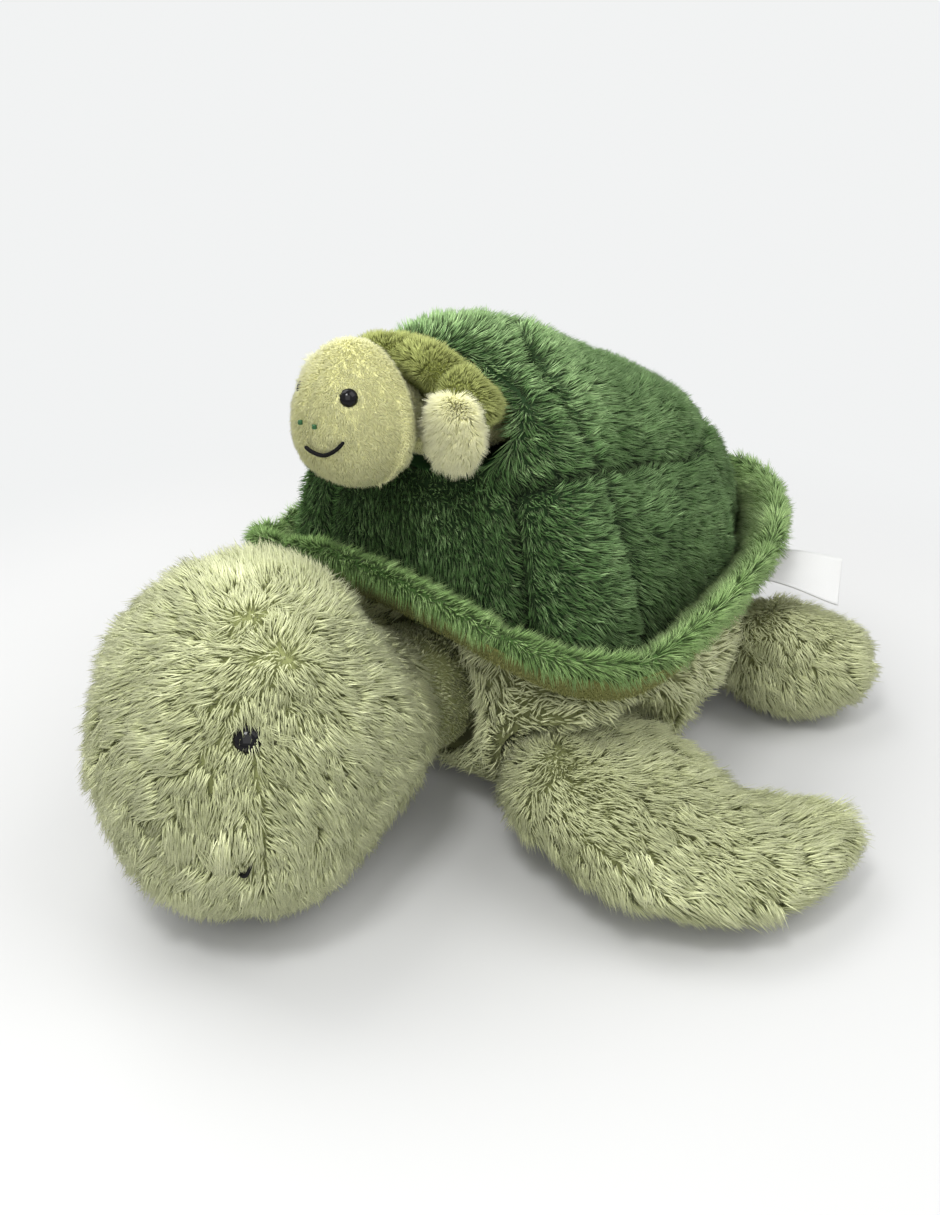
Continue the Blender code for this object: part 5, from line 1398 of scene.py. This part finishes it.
def rear_flipper(side: Side) -> Flipper:
    """A rear flipper: a short round paddle."""
    return Flipper(
        "rear", side, (66.0, 272.0, 34.0), (124.0, 319.0, 30.0), (4.0, -8.0, -2.0),
        (28.0, 36.8, 41.2, 44.0, 46.0), (24.0, 31.9, 33.2, 34.1, 34.1), 2.3, (-8.0, 5.0, 18.0), 0.6,
        (88.0, 282.0, 62.0),
        Pile(12500, 10.5, 0.66, swirl=32.0, clump_size=6.0, clump_pull=0.3, seed=41 + side.value),
    )


@dataclass
class Body:
    """The body under the shell: its plush sides and its flat belly."""

    outline: Outline
    head: Head
    flippers: Sequence[Flipper]
    belly_y: float = 205.0
    insets: tuple = (18.0, 2.0, -8.0, -7.0, 6.0)
    levels: tuple = (0.09, 0.28, 0.52, 0.80, 1.06)
    belly_share: float = 0.58
    plush: float = 7.0
    neck_room: tuple = ((72.0, 26.0), (63.0, 12.0), (57.0, 5.0), (49.0, -4.0), (37.0, -17.0))
    pile: Pile = Pile(31000, 10.0, 0.86, swirl=30.0, clump_pull=0.3, seed=51)

    def surface(self) -> Surface:
        """The body's outer form, which follows the shell's outline and swells at half height."""
        ball, faces = unit_ball(160, 72)
        share = np.mod(np.arctan2(ball[:, 0], -ball[:, 1]) / (2.0 * math.pi), 1.0)
        polar = np.arccos(np.clip(-ball[:, 2], -1.0, 1.0)) / math.pi
        edge = self.outline.at(share)
        middle = np.array((0.0, self.belly_y))
        inward = unit(middle - edge)
        rows = [middle + (edge - middle) * self.belly_share]
        heights = [np.zeros(len(edge))]
        for inset, level in zip(self.insets, self.levels):
            spot = edge + inward * inset
            rows.append(spot)
            heights.append(self.outline.height(spot[:, 0], spot[:, 1]) * level)
        place = np.clip((polar - 0.22) / (0.80 - 0.22), 0.0, 1.0) * (len(rows) - 1)
        k = np.minimum(place.astype(int), len(rows) - 2)
        t = place - k
        table = np.stack([np.column_stack([row, height]) for row, height in zip(rows, heights)])
        n, last = np.arange(len(edge)), len(rows) - 1
        before, here, after, beyond = (table[np.clip(i, 0, last), n] for i in (k - 1, k, k + 1, k + 2))
        t = t[:, None]
        rise, fall = (after - before) * 0.5, (beyond - here) * 0.5
        points = (
            here * (2 * t**3 - 3 * t**2 + 1) + rise * (t**3 - 2 * t**2 + t)
            + after * (3 * t**2 - 2 * t**3) + fall * (t**3 - t**2)
        )
        low, high = np.clip(polar / 0.22, 0.0, 1.0), np.clip((1.0 - polar) / 0.20, 0.0, 1.0)
        size = np.minimum(low, high)[:, None]
        points[:, :2] = middle + (points[:, :2] - middle) * size
        top = self.outline.height(points[:, 0], points[:, 1])
        points[:, 2] = np.where(high < 1.0, top, np.minimum(points[:, 2], top))
        return facing_out(Surface(points, faces))

    def neck_hollow(self) -> Surface:
        """The room that the head needs in front of the body."""
        profile = [(0.0, 60.0), (72.0, 60.0), *self.neck_room, (0.0, -17.0)]
        points, faces = turned(profile)
        points = points[:, [0, 2, 1]] * (1.0, -1.0, 1.0) + self.head.pivot
        return facing_out(Surface(points, faces))

    def build(self, wardrobe: Wardrobe) -> None:
        """Makes the body's plush, hollowed for the neck and the flippers."""
        surface = self.surface()
        skin = surface.moved(-self.plush + 1.2 * wander(surface.points, 50.0, 71))
        points = skin.points.copy()
        points[:, 2] = np.minimum(points[:, 2], self.outline.height(points[:, 0], points[:, 1]) - 0.6)
        skin = Surface(points, skin.faces).above(1.2)
        ball, faces = unit_ball(48, 36)
        socket = Surface(ball * (self.head.neck_radius + 0.9) + self.head.pivot, faces)
        rooms = [self.neck_hollow(), socket] + [flipper.swing_room(0.9) for flipper in self.flippers]
        hollow = cut_away(skin, rooms)
        pivot = np.array(self.head.pivot)
        roots = [np.array(flipper.form().spine[0], float) for flipper in self.flippers]
        coat = Coat()
        # The body's skin gets the lowest tone: painted shade where it shows through the fibres, round the neck
        # and under the lip.
        coat.skin(hollow, np.full(len(hollow.points), 0.0))

        def weight(points: Array) -> Array:
            top = self.outline.height(points[:, 0], points[:, 1])
            belly = 0.22 + 0.78 * smooth(points[:, 2], 2.0, 8.0)
            for root in roots:
                belly *= 0.85 + 0.15 * smooth(np.linalg.norm(points - root, axis=1), 26.0, 38.0)
            belly *= 1.0 - 0.5 * smooth(points[:, 1], 150.0, 190.0)
            belly *= smooth(np.linalg.norm(points - pivot, axis=1), 39.5, 41.0)
            return belly * (1.0 - smooth(points[:, 2] - top, -6.0, -2.0))

        def trim(points: Array) -> Array:
            left = 0.35 + 0.65 * smooth(points[:, 2], 3.0, 20.0)
            return left * (1.1 - 0.1 * smooth(np.linalg.norm(points - pivot, axis=1), 45.0, 60.0))

        def comb(points: Array, normals: Array) -> Array:
            ways = np.tile((0.0, 0.75, -0.55), (len(points), 1))
            ways[:, 2] += 0.5 * wander(points, 45.0, 72)
            ways[:, 0] += 0.4 * wander(points, 50.0, 73)
            near = 1.0 - smooth(np.linalg.norm(points - pivot, axis=1), 45.0, 72.0)
            ways[:, 1] -= 2.6 * near
            return ways

        grow(coat, hollow, self.pile, comb, weight, trim)
        made = coat.piece("body_plush")
        wardrobe.put_on(made, SAGE)
        hand_over(made, "torso", ["body_skin", "body_filling"])


@dataclass
class Label:
    """The folded ribbon in the seam at the left rear."""

    outline: Outline
    round_share: float = 0.375
    width: float = 26.0
    start: float = 3.5
    length: float = 50.0
    droop: float = 4.0
    hang: float = 3.0
    twist: float = math.radians(45.0)
    half_gap: float = 0.28
    steps: int = 60
    across_steps: int = 16

    def build(self, wardrobe: Wardrobe) -> None:
        """Makes the ribbon: two layers that run out of the seam and meet in a round fold."""
        share = np.array([self.round_share])
        edge, out = self.outline.at(share)[0], self.outline.outward(share)[0]
        base = np.array((*edge, self.outline.height(edge[:1], edge[1:])[0]))
        seam = np.cross(UP, out)
        run = np.linspace(0.0, 1.0, self.steps)
        sheet = []
        for layer, order in ((1.0, run), (-1.0, run[::-1])):
            for k in order:
                fold = math.sqrt(max(0.0, 1.0 - max(0.0, (k - 0.97) / 0.03) ** 2))
                turn = np.array(Matrix.Rotation(self.twist * k, 3, Vector(out)))
                middle = base + out * (self.start + self.length * k)
                middle = middle - UP * (self.hang + self.droop * k**2) + UP * 1.6 * math.sin(k * 5.0) * k
                wide, thick = turn @ seam, turn @ UP
                row = []
                for u in np.linspace(-0.5, 0.5, self.across_steps):
                    curl = 0.9 * k * (u * 2.0) ** 2
                    row.append(middle + wide * self.width * u + thick * (self.half_gap * fold * layer + curl))
                sheet.append(row)
        points = np.array(sheet)
        rows, columns = points.shape[:2]
        normals = np.cross(np.gradient(points, axis=0), np.gradient(points, axis=1))
        normals = unit(normals)
        half = 0.11
        both = np.concatenate([(points + side).reshape(-1, 3) for side in (normals * half, -normals * half)])
        faces, count = [], rows * columns
        for i in range(rows - 1):
            for j in range(columns - 1):
                a, d = i * columns + j, (i + 1) * columns + j
                faces += [(a, a + 1, d + 1), (a, d + 1, d)]
                faces += [(count + a, count + d + 1, count + a + 1), (count + a, count + d, count + d + 1)]
        border = list(range(columns)) + [i * columns + columns - 1 for i in range(1, rows)]
        border += [(rows - 1) * columns + j for j in range(columns - 2, -1, -1)]
        border += [i * columns for i in range(rows - 2, 0, -1)]
        for a, b in zip(border, border[1:] + border[:1]):
            faces += [(b, a, count + a), (b, count + a, count + b)]
        surface = facing_out(Surface(both, np.array(faces)))
        made = write_mesh("sewn_label_ribbon", surface.points, surface.faces)
        wardrobe.put_on(made, RIBBON)
        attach(made, "torso")
        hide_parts("sewn_label")
        log.info("%s rides on torso", made.name)


# Young turtle ---------------------------------------------------------------------------------------------


@dataclass
class Young:
    """The young turtle in the pocket."""

    shell: Shell
    neck: tuple = (-3.0, 86.0, 197.0)
    neck_radius: float = 16.5
    centre: tuple = (-6.0, 68.0, 201.0)
    half_width: float = 29.0
    half_height: float = 37.5
    reach: float = 26.0
    turn: float = math.radians(6.0)
    width_shares: tuple = (0.72, 1.10, 1.13, 1.16, 1.22)
    height_shares: tuple = (0.50, 0.78, 0.98, 1.10, 1.17)
    crown_share: float = 0.28
    plush: float = 1.7
    eye_radius: float = 3.8
    eye_crown: float = 2.8
    eye_sinks: tuple = (1.7, 3.2)
    eye_angles: tuple = (math.radians(42.0), math.radians(32.0))
    nostril_angles: tuple = (9.0, 6.5)
    smile_angles: tuple = ((-5.0, -17.0), (5.0, -20.0), (17.0, -20.0), (28.0, -14.0), (36.0, -6.0))
    body_places: tuple = (-4.0, 30.0, 60.0)
    body_drop: float = 4.5
    body_widths: tuple = (19.0, 30.0, 29.0)
    body_heights: tuple = (11.0, 13.0, 12.0)
    body_lead: float = 11.0
    shell_place: float = 28.0
    shell_sizes: tuple = (37.0, 37.0, 21.0)
    shell_fullness: float = 3.0
    seam_rise: float = 4.0
    rim_points: tuple = (
        (-24.5, 113.5, 196.8), (-29.5, 106.0, 203.0), (-32.0, 97.0, 210.0), (-28.0, 98.0, 213.5),
        (-22.0, 98.0, 216.0), (-12.0, 98.2, 218.0), (0.0, 98.0, 219.0), (12.0, 97.0, 218.5),
        (20.0, 96.0, 216.5), (28.0, 95.0, 214.0), (33.0, 95.0, 212.0), (36.5, 97.0, 208.0),
        (35.5, 104.0, 204.0), (30.0, 112.0, 200.0),
    )
    rim_radius: float = 9.8
    rim_shares: tuple = (0.3, 0.4, 0.7, 0.78, 0.9, 0.95, 0.95, 1.0, 1.05, 1.1, 1.1, 1.1, 0.9, 0.6)
    flipper_root: tuple = (37.5, 84.5, 205.0)
    flipper_tip: tuple = (38.5, 83.0, 183.0)
    flipper_widths: tuple = (12.5, 17.0, 17.5)
    flipper_heights: tuple = (8.0, 8.0, 8.0)
    head_pile: Pile = Pile(
        32000, 2.5, 0.46, rise_angle=40.0, lay_angle=52.0, swirl=18.0,
        clump_size=2.2, clump_pull=0.3, bent=False, seed=61,
    )
    flipper_pile: Pile = Pile(
        10000, 5.0, 0.62, rise_angle=20.0, lay_angle=40.0, swirl=20.0,
        clump_size=2.4, clump_pull=0.12, bent=False, seed=62,
    )
    moss_pile: Pile = Pile(
        14000, 3.4, 0.5, rise_angle=20.0, lay_angle=45.0, swirl=24.0,
        clump_size=2.6, clump_pull=0.3, bent=False, seed=63,
    )

    def build(self, wardrobe: Wardrobe) -> None:
        """Makes the head, the body in the pocket, its shell and its flippers."""
        self.make_head(wardrobe)
        self.make_body(wardrobe)
        self.make_rim(wardrobe)
        for side in Side:
            self.make_flipper(wardrobe, side)
            self.make_rear_flipper(wardrobe, side)

    def head_form(self) -> Form:
        """The head, an egg that stands on end."""
        facing = np.array((math.sin(self.turn), -math.cos(self.turn), 0.0))
        neck, centre = np.array(self.neck), np.array(self.centre)
        nose = centre + facing * self.reach
        spine = [neck, (neck + centre) / 2.0, centre, (centre + nose) / 2.0, nose]
        widths = [self.neck_radius] + [self.half_width * share for share in self.width_shares[1:]]
        heights = [self.neck_radius] + [self.half_height * share for share in self.height_shares[1:]]
        return Form(
            spine, widths, heights, self.neck_radius, taper=self.crown_share, calm=0.5, segments=144, rings=112,
        )

    def ray(self, tree: BVHTree, side: float, rise: float) -> tuple[Array, Array]:
        """A point of the head's surface at a side and a rise angle, and its normal."""
        return cast_ray(tree, self.centre, self.turn + side, rise)

    def make_head(self, wardrobe: Wardrobe) -> None:
        """The head with its eyes, nostrils and smile."""
        surface = self.head_form().surface()
        tree = BVHTree.FromPolygons(surface_list(surface.points), surface.faces.tolist())
        eyes = {side: self.ray(tree, self.eye_angles[0] * side.value, self.eye_angles[1]) for side in Side}
        seam = [self.ray(tree, math.radians(-2.0), math.radians(rise))[0] for rise in range(-52, 66, 6)]
        skin = surface.moved(-self.plush + 0.5 * wander(surface.points, 26.0, 81))
        near = line_distance(skin.points, seam)
        skin = skin.moved(-1.3 * np.exp(-(near / 2.2) ** 2) - 1.2 * np.exp(-(near / 7.0) ** 2))
        coat = Coat()
        # The skin darkens along the face seam: painted shade in its valley.
        coat.skin(skin, 0.5 - 1.2 * np.exp(-((near / 1.3) ** 2)))
        neck, centre = np.array(self.neck), np.array(self.centre)
        smile = np.array([
            self.ray(tree, *np.radians(pair))[0]
            for pair in along(self.smile_angles, np.linspace(0.0, 1.0, 30))
        ])

        def weight(points: Array) -> Array:
            thick = smooth(np.linalg.norm(points - neck, axis=1), 12.0, 14.5)
            for place, _ in eyes.values():
                thick = thick * smooth(np.linalg.norm(points - place, axis=1), 3.9, 4.4)
            thick = thick * (0.05 + 0.95 * smooth(line_distance(points, seam), 0.4, 1.1))
            return thick * (0.05 + 0.95 * smooth(line_distance(points, smile), 1.1, 1.7))

        def trim(points: Array) -> Array:
            return 0.4 + 0.6 * smooth(line_distance(points, seam), 0.6, 3.0)

        # The fibres darken along the face seam: painted shade in its valley.
        def tint(points: Array) -> Array:
            return -1.5 * np.exp(-(line_distance(points, seam) / 1.8) ** 2)

        def comb(points: Array, normals: Array) -> Array:
            down = np.tile((0.0, 0.2, -1.0), (len(points), 1))
            down[:, 0] = (points[:, 0] - centre[0]) * 0.03
            down[:, 1] += (points[:, 1] - centre[1]) * 0.02
            return down

        grow(coat, skin, self.head_pile, comb, weight, trim, tint)
        made = coat.piece("young_head_plush")
        wardrobe.put_on(made, PALE)
        hand_over(made, "young_head", ["young_head_skin", "young_head_filling"])
        for sink, (side, (place, normal)) in zip(self.eye_sinks, eyes.items()):
            name = f"young_eye_{side.label}_bead"
            eye = button(name, place, normal, self.eye_radius, self.eye_crown, sink, 1.0, 5.0)
            wardrobe.put_on(eye, EYE)
            hand_over(eye, "young_head", [f"young_eye_{side.label}"])
            wardrobe.put_on(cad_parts[f"young_eye_{side.label}_washer"], NYLON)
            out, rise = np.radians(self.nostril_angles)
            path = []
            for step in np.linspace(0.0, 1.0, 6):
                place, normal = self.ray(tree, out * side.value, rise - math.radians(4.0) * step)
                path.append(place + normal * 0.2)
            nostril = stitched(f"young_nostril_thread_{side.label}", np.array(path), 1.0)
            wardrobe.put_on(nostril, GREEN_THREAD)
            hand_over(nostril, "young_head", [f"young_nostril_stitches_{side.label}"])
        made = stitched("young_smile_thread", smile, 0.85)
        wardrobe.put_on(made, THREAD)
        hand_over(made, "young_head", ["young_smile_stitches"])

    def make_body(self, wardrobe: Wardrobe) -> None:
        """The body in the pocket and the shell pad on its back."""
        spine = [self.shell.pocket_place(place, rise=-self.body_drop) for place in self.body_places]
        form = Form(spine, self.body_widths, self.body_heights, self.body_lead, segments=56, rings=40)
        skin = form.surface().moved(-1.2)
        axis, up = self.shell.pocket_axis()
        origin = self.shell.pocket_place(0.0)
        high = (skin.points - origin) @ up
        points = skin.points - up * np.maximum(0.0, high - self.seam_rise + 0.8)[:, None]
        skin = Surface(points, skin.faces)
        ball, faces = unit_ball(40, 30)
        neck = Surface(ball * (self.neck_radius + 0.7) + self.neck, faces)
        tree = BVHTree.FromPolygons(surface_list(skin.points), skin.faces.tolist())
        hollow = cut_away(skin, [neck])
        coat = Coat()
        coat.skin(hollow, np.full(len(hollow.points), 0.5))
        back = Pile(7000, 2.2, 0.45, rise_angle=40.0, lay_angle=60.0, clump_size=2.4, bent=False, seed=64)
        grow(coat, outer_faces(hollow, tree), back, lambda p, n: np.tile(axis, (len(p), 1)), everywhere)
        made = coat.piece("young_body_plush")
        wardrobe.put_on(made, PALE)
        hand_over(made, "young_turtle", ["young_body_skin", "young_body_filling"])
        ball, faces = unit_ball(64, 44)
        centre = self.shell.pocket_place(self.shell_place)
        sizes = np.array(self.shell_sizes) - 2.0
        full = np.sum(np.abs(ball) ** self.shell_fullness, axis=1) ** (1.0 / self.shell_fullness)
        points = ball / full[:, None] * sizes
        points[:, 2] = np.maximum(points[:, 2], self.seam_rise + 1.0)
        turn = np.stack([np.array((1.0, 0.0, 0.0)), axis, up])
        pad = facing_out(Surface(points @ turn + centre, faces))
        tree = BVHTree.FromPolygons(surface_list(pad.points), pad.faces.tolist())
        hollow = cut_away(pad, [neck])
        coat = Coat()
        coat.skin(hollow, np.full(len(hollow.points), 0.5))
        pile = Pile(9000, 3.0, 0.5, rise_angle=30.0, lay_angle=62.0, clump_size=2.6, bent=False, seed=65)

        def on_top(points: Array) -> Array:
            return smooth((points - centre) @ up, self.seam_rise + 1.2, self.seam_rise + 2.5)

        grow(coat, outer_faces(hollow, tree), pile, lambda p, n: np.tile(axis, (len(p), 1)), on_top)
        made = coat.piece("young_shell_plush")
        wardrobe.put_on(made, MOSS)
        hand_over(made, "young_turtle", ["young_shell_cover"])

    def make_rim(self, wardrobe: Wardrobe) -> None:
        """The stuffed lip at the front of the young turtle's shell, puckered into lobes."""
        ball, faces = unit_ball(40, 120)
        share = np.arccos(np.clip(ball[:, 2], -1.0, 1.0)) / math.pi
        middle = along(self.rim_points, share)
        tangent = unit(along(self.rim_points, share + 0.01) - along(self.rim_points, share - 0.01))
        toward = np.array((0.0, 1.0, 0.0))
        wide = unit(toward - tangent * (tangent @ toward)[:, None])
        high = np.cross(tangent, wide)
        flat = np.hypot(ball[:, 0], ball[:, 1])
        end = np.maximum(0.0, np.abs(share * 2.0 - 1.0) - 0.97)
        cap = np.sqrt(np.clip(1.0 - end**2 / 0.03**2, 0.0, 1.0))
        size = (self.rim_radius - 1.8) * along(self.rim_shares, share) * cap
        size *= 1.0 - 0.3 * np.exp(-(((share - 0.69) / 0.02) ** 2))
        turn_x, turn_y = ball[:, 0] / np.maximum(flat, TINY), ball[:, 1] / np.maximum(flat, TINY)
        points = middle + wide * (size * turn_x)[:, None] + high * (size * turn_y)[:, None]
        skin = facing_out(Surface(points, faces))
        coat = Coat()
        coat.skin(skin, np.full(len(skin.points), 0.5))
        puckers = np.array([along(self.rim_points, np.array([s]))[0] for s in (0.34, 0.58, 0.8)])
        puckers = puckers + (0.0, -self.rim_radius * 0.8, 0.0)

        def comb(points: Array, normals: Array) -> Array:
            return points - puckers[nearest(puckers, points)]

        grow(coat, skin, self.moss_pile, comb, everywhere)
        made = coat.piece("young_shell_rim_plush")
        wardrobe.put_on(made, MOSS)
        hand_over(made, "young_turtle", ["young_shell_rim"])

    def make_flipper(self, wardrobe: Wardrobe, side: Side) -> None:
        """A fluffy front flipper that hangs in front of the big shell."""
        flip = np.array((side.value, 1.0, 1.0))
        root, tip = (np.array(point) * flip for point in (self.flipper_root, self.flipper_tip))
        form = Form([root, (root + tip) / 2.0, tip], self.flipper_widths, self.flipper_heights, 10.0)
        skin = form.surface().moved(-1.9)
        coat = Coat()
        coat.skin(skin, np.full(len(skin.points), 0.5))

        def comb(points: Array, normals: Array) -> Array:
            return unit(tip - root) + unit(points - root - (0.0, 0.0, 4.0)) * 0.6

        grow(coat, skin, self.flipper_pile, comb, everywhere)
        name = f"young_front_flipper_{side.label}"
        made = coat.piece(f"{name}_plush")
        wardrobe.put_on(made, CREAM)
        hand_over(made, f"young_flipper_{side.label}", [f"{name}_skin", f"{name}_filling"])

    def make_rear_flipper(self, wardrobe: Wardrobe, side: Side) -> None:
        """A small rear flipper inside the pocket."""
        ball, faces = unit_ball(28, 20)
        centre = self.shell.pocket_place(52.0, 26.0 * side.value, -self.body_drop)
        points = ball * (8.4, 13.4, 6.0) + centre
        name = f"young_rear_flipper_{side.label}"
        skin = Surface(points, faces)
        spine = [self.shell.pocket_place(place, rise=-self.body_drop) for place in self.body_places]
        form = Form(spine, self.body_widths, self.body_heights, self.body_lead, segments=48, rings=36)
        body = form.surface().moved(0.3)
        tree = BVHTree.FromPolygons(surface_list(skin.points), skin.faces.tolist())
        hollow = cut_away(skin, [body])
        coat = Coat()
        coat.skin(hollow, np.full(len(hollow.points), 0.5))
        pile = Pile(1200, 1.4, 0.45, rise_angle=40.0, lay_angle=64.0, clump_size=2.4, bent=False, seed=66)
        outer = outer_faces(hollow, tree)
        grow(coat, outer, pile, lambda p, n: np.tile((0.0, 1.0, -0.3), (len(p), 1)), everywhere)
        made = coat.piece(f"{name}_plush")
        wardrobe.put_on(made, PALE)
        hand_over(made, "young_turtle", [name])


# Studio ---------------------------------------------------------------------------------------------------


@dataclass(frozen=True)
class Studio:
    """The floor, the lamps, the world and the camera."""

    azimuth: float = math.radians(43.0)
    elevation: float = math.radians(28.0)
    target: tuple = (6.0, 128.0, 90.0)
    distance: float = 624.0
    focal_px: float = 1300.0
    frame_px: tuple = (940.0, 1215.0)
    sensor: float = 36.0
    floor_half: float = 6.0

    def build(self) -> None:
        """Sets the studio up."""
        self.make_floor()
        self.make_world()
        self.make_lamp("key_lamp", (0.8, 0.35, 1.2), 1.0, 7.4)
        self.make_lamp("left_lamp", (-0.6, -0.1, 1.1), 0.9, 8.5)
        self.make_lamp("fill_lamp", (0.8, -0.85, 0.85), 1.0, 5.5)
        self.make_lamp("catch_lamp", (0.23, -0.5, 0.95), 0.22, 3.8)
        self.make_camera()
        bpy.context.scene.view_settings.view_transform = "Standard"

    def make_camera(self) -> None:
        """The camera at the photograph's angle, without depth of field."""
        lens = bpy.data.cameras.new("camera")
        lens.sensor_width = self.sensor
        lens.lens = self.focal_px / max(self.frame_px) * self.sensor
        lens.clip_start, lens.clip_end = 0.01, 50.0
        made = bpy.data.objects.new("camera", lens)
        bpy.context.scene.collection.objects.link(made)
        cos = math.cos(self.elevation)
        back = Vector((math.sin(self.azimuth) * cos, -math.cos(self.azimuth) * cos, math.sin(self.elevation)))
        aim = Vector((self.target[0], self.target[1] - MIDDLE_Y, self.target[2])) * MM
        made.location = aim + back * self.distance * MM
        made.rotation_euler = (-back).to_track_quat("-Z", "Y").to_euler()
        bpy.context.scene.camera = made

    def make_lamp(self, name: str, place: tuple, size: float, power: float) -> None:
        """A soft square lamp that looks at the toy."""
        lamp = bpy.data.lights.new(name, "AREA")
        lamp.shape, lamp.size, lamp.energy = "SQUARE", size, power
        made = bpy.data.objects.new(name, lamp)
        made.location = place
        made.rotation_euler = (-Vector(place) + Vector((0.0, 0.0, 0.08))).to_track_quat("-Z", "Y").to_euler()
        bpy.context.scene.collection.objects.link(made)

    def make_world(self) -> None:
        """Even light from all round, seen as a pale backdrop."""
        world = bpy.data.worlds.new("studio")
        bpy.context.scene.world = world
        world.use_nodes = True
        nodes, links = world.node_tree.nodes, world.node_tree.links
        nodes["Background"].inputs["Color"].default_value = (0.98, 0.99, 1.0, 1.0)
        nodes["Background"].inputs["Strength"].default_value = 0.75
        shown = nodes.new("ShaderNodeBackground")
        shown.inputs["Color"].default_value = (0.885, 0.895, 0.895, 1.0)
        path = nodes.new("ShaderNodeLightPath")
        seen = nodes.new("ShaderNodeMath")
        seen.operation = "MAXIMUM"
        also = nodes.new("ShaderNodeMath")
        also.operation = "MAXIMUM"
        mix = nodes.new("ShaderNodeMixShader")
        links.new(path.outputs["Is Camera Ray"], seen.inputs[0])
        links.new(path.outputs["Is Glossy Ray"], seen.inputs[1])
        links.new(seen.outputs[0], also.inputs[0])
        links.new(path.outputs["Is Transmission Ray"], also.inputs[1])
        links.new(also.outputs[0], mix.inputs[0])
        links.new(nodes["Background"].outputs[0], mix.inputs[1])
        links.new(shown.outputs[0], mix.inputs[2])
        links.new(mix.outputs[0], nodes["World Output"].inputs["Surface"])

    def make_floor(self) -> None:
        """A pale floor that fades into the backdrop some way behind the toy."""
        bpy.ops.object.select_all(action="DESELECT")
        bpy.ops.mesh.primitive_grid_add(x_subdivisions=8, y_subdivisions=8, size=self.floor_half * 2.0)
        floor = bpy.context.object
        floor.name = "floor"
        made = bpy.data.materials.new("floor_paper")
        made.use_nodes = True
        nodes, links = made.node_tree.nodes, made.node_tree.links
        shader = nodes["Principled BSDF"]
        shader.inputs["Base Color"].default_value = (0.56, 0.56, 0.555, 1.0)
        shader.inputs["Roughness"].default_value = 0.9
        shader.inputs["Specular IOR Level"].default_value = 0.1
        glow = nodes.new("ShaderNodeEmission")
        glow.inputs["Color"].default_value = (0.885, 0.895, 0.895, 1.0)
        place = nodes.new("ShaderNodeTexCoord")
        far = nodes.new("ShaderNodeVectorMath")
        far.operation = "LENGTH"
        fade = nodes.new("ShaderNodeMapRange")
        fade.interpolation_type = "SMOOTHSTEP"
        fade.inputs["From Min"].default_value = 0.30
        fade.inputs["From Max"].default_value = 0.50
        path = nodes.new("ShaderNodeLightPath")
        both = nodes.new("ShaderNodeMath")
        both.operation = "MULTIPLY"
        mix = nodes.new("ShaderNodeMixShader")
        links.new(place.outputs["Object"], far.inputs[0])
        links.new(far.outputs["Value"], fade.inputs["Value"])
        links.new(fade.outputs["Result"], both.inputs[0])
        links.new(path.outputs["Is Camera Ray"], both.inputs[1])
        links.new(both.outputs[0], mix.inputs[0])
        links.new(shader.outputs[0], mix.inputs[1])
        links.new(glow.outputs[0], mix.inputs[2])
        links.new(mix.outputs[0], nodes["Material Output"].inputs["Surface"])
        floor.data.materials.append(made)


def main() -> None:
    """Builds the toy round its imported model, and the studio."""
    logging.basicConfig(level=logging.INFO, format="%(message)s")
    for name in ("Cube", "Light", "Camera"):
        found = bpy.data.objects.get(name)
        if found is not None:
            bpy.data.objects.remove(found)
    wardrobe = Wardrobe()
    outline, head = Outline(), Head()
    shell = Shell(outline)
    flippers = [make(side) for make in (front_flipper, rear_flipper) for side in Side]
    Studio().build()
    head.build(wardrobe)
    for flipper in flippers:
        flipper.build(wardrobe)
    Body(outline, head, flippers).build(wardrobe)
    shell.build(wardrobe)
    Label(outline).build(wardrobe)
    Young(shell).build(wardrobe)


if __name__ == "__main__":
    main()
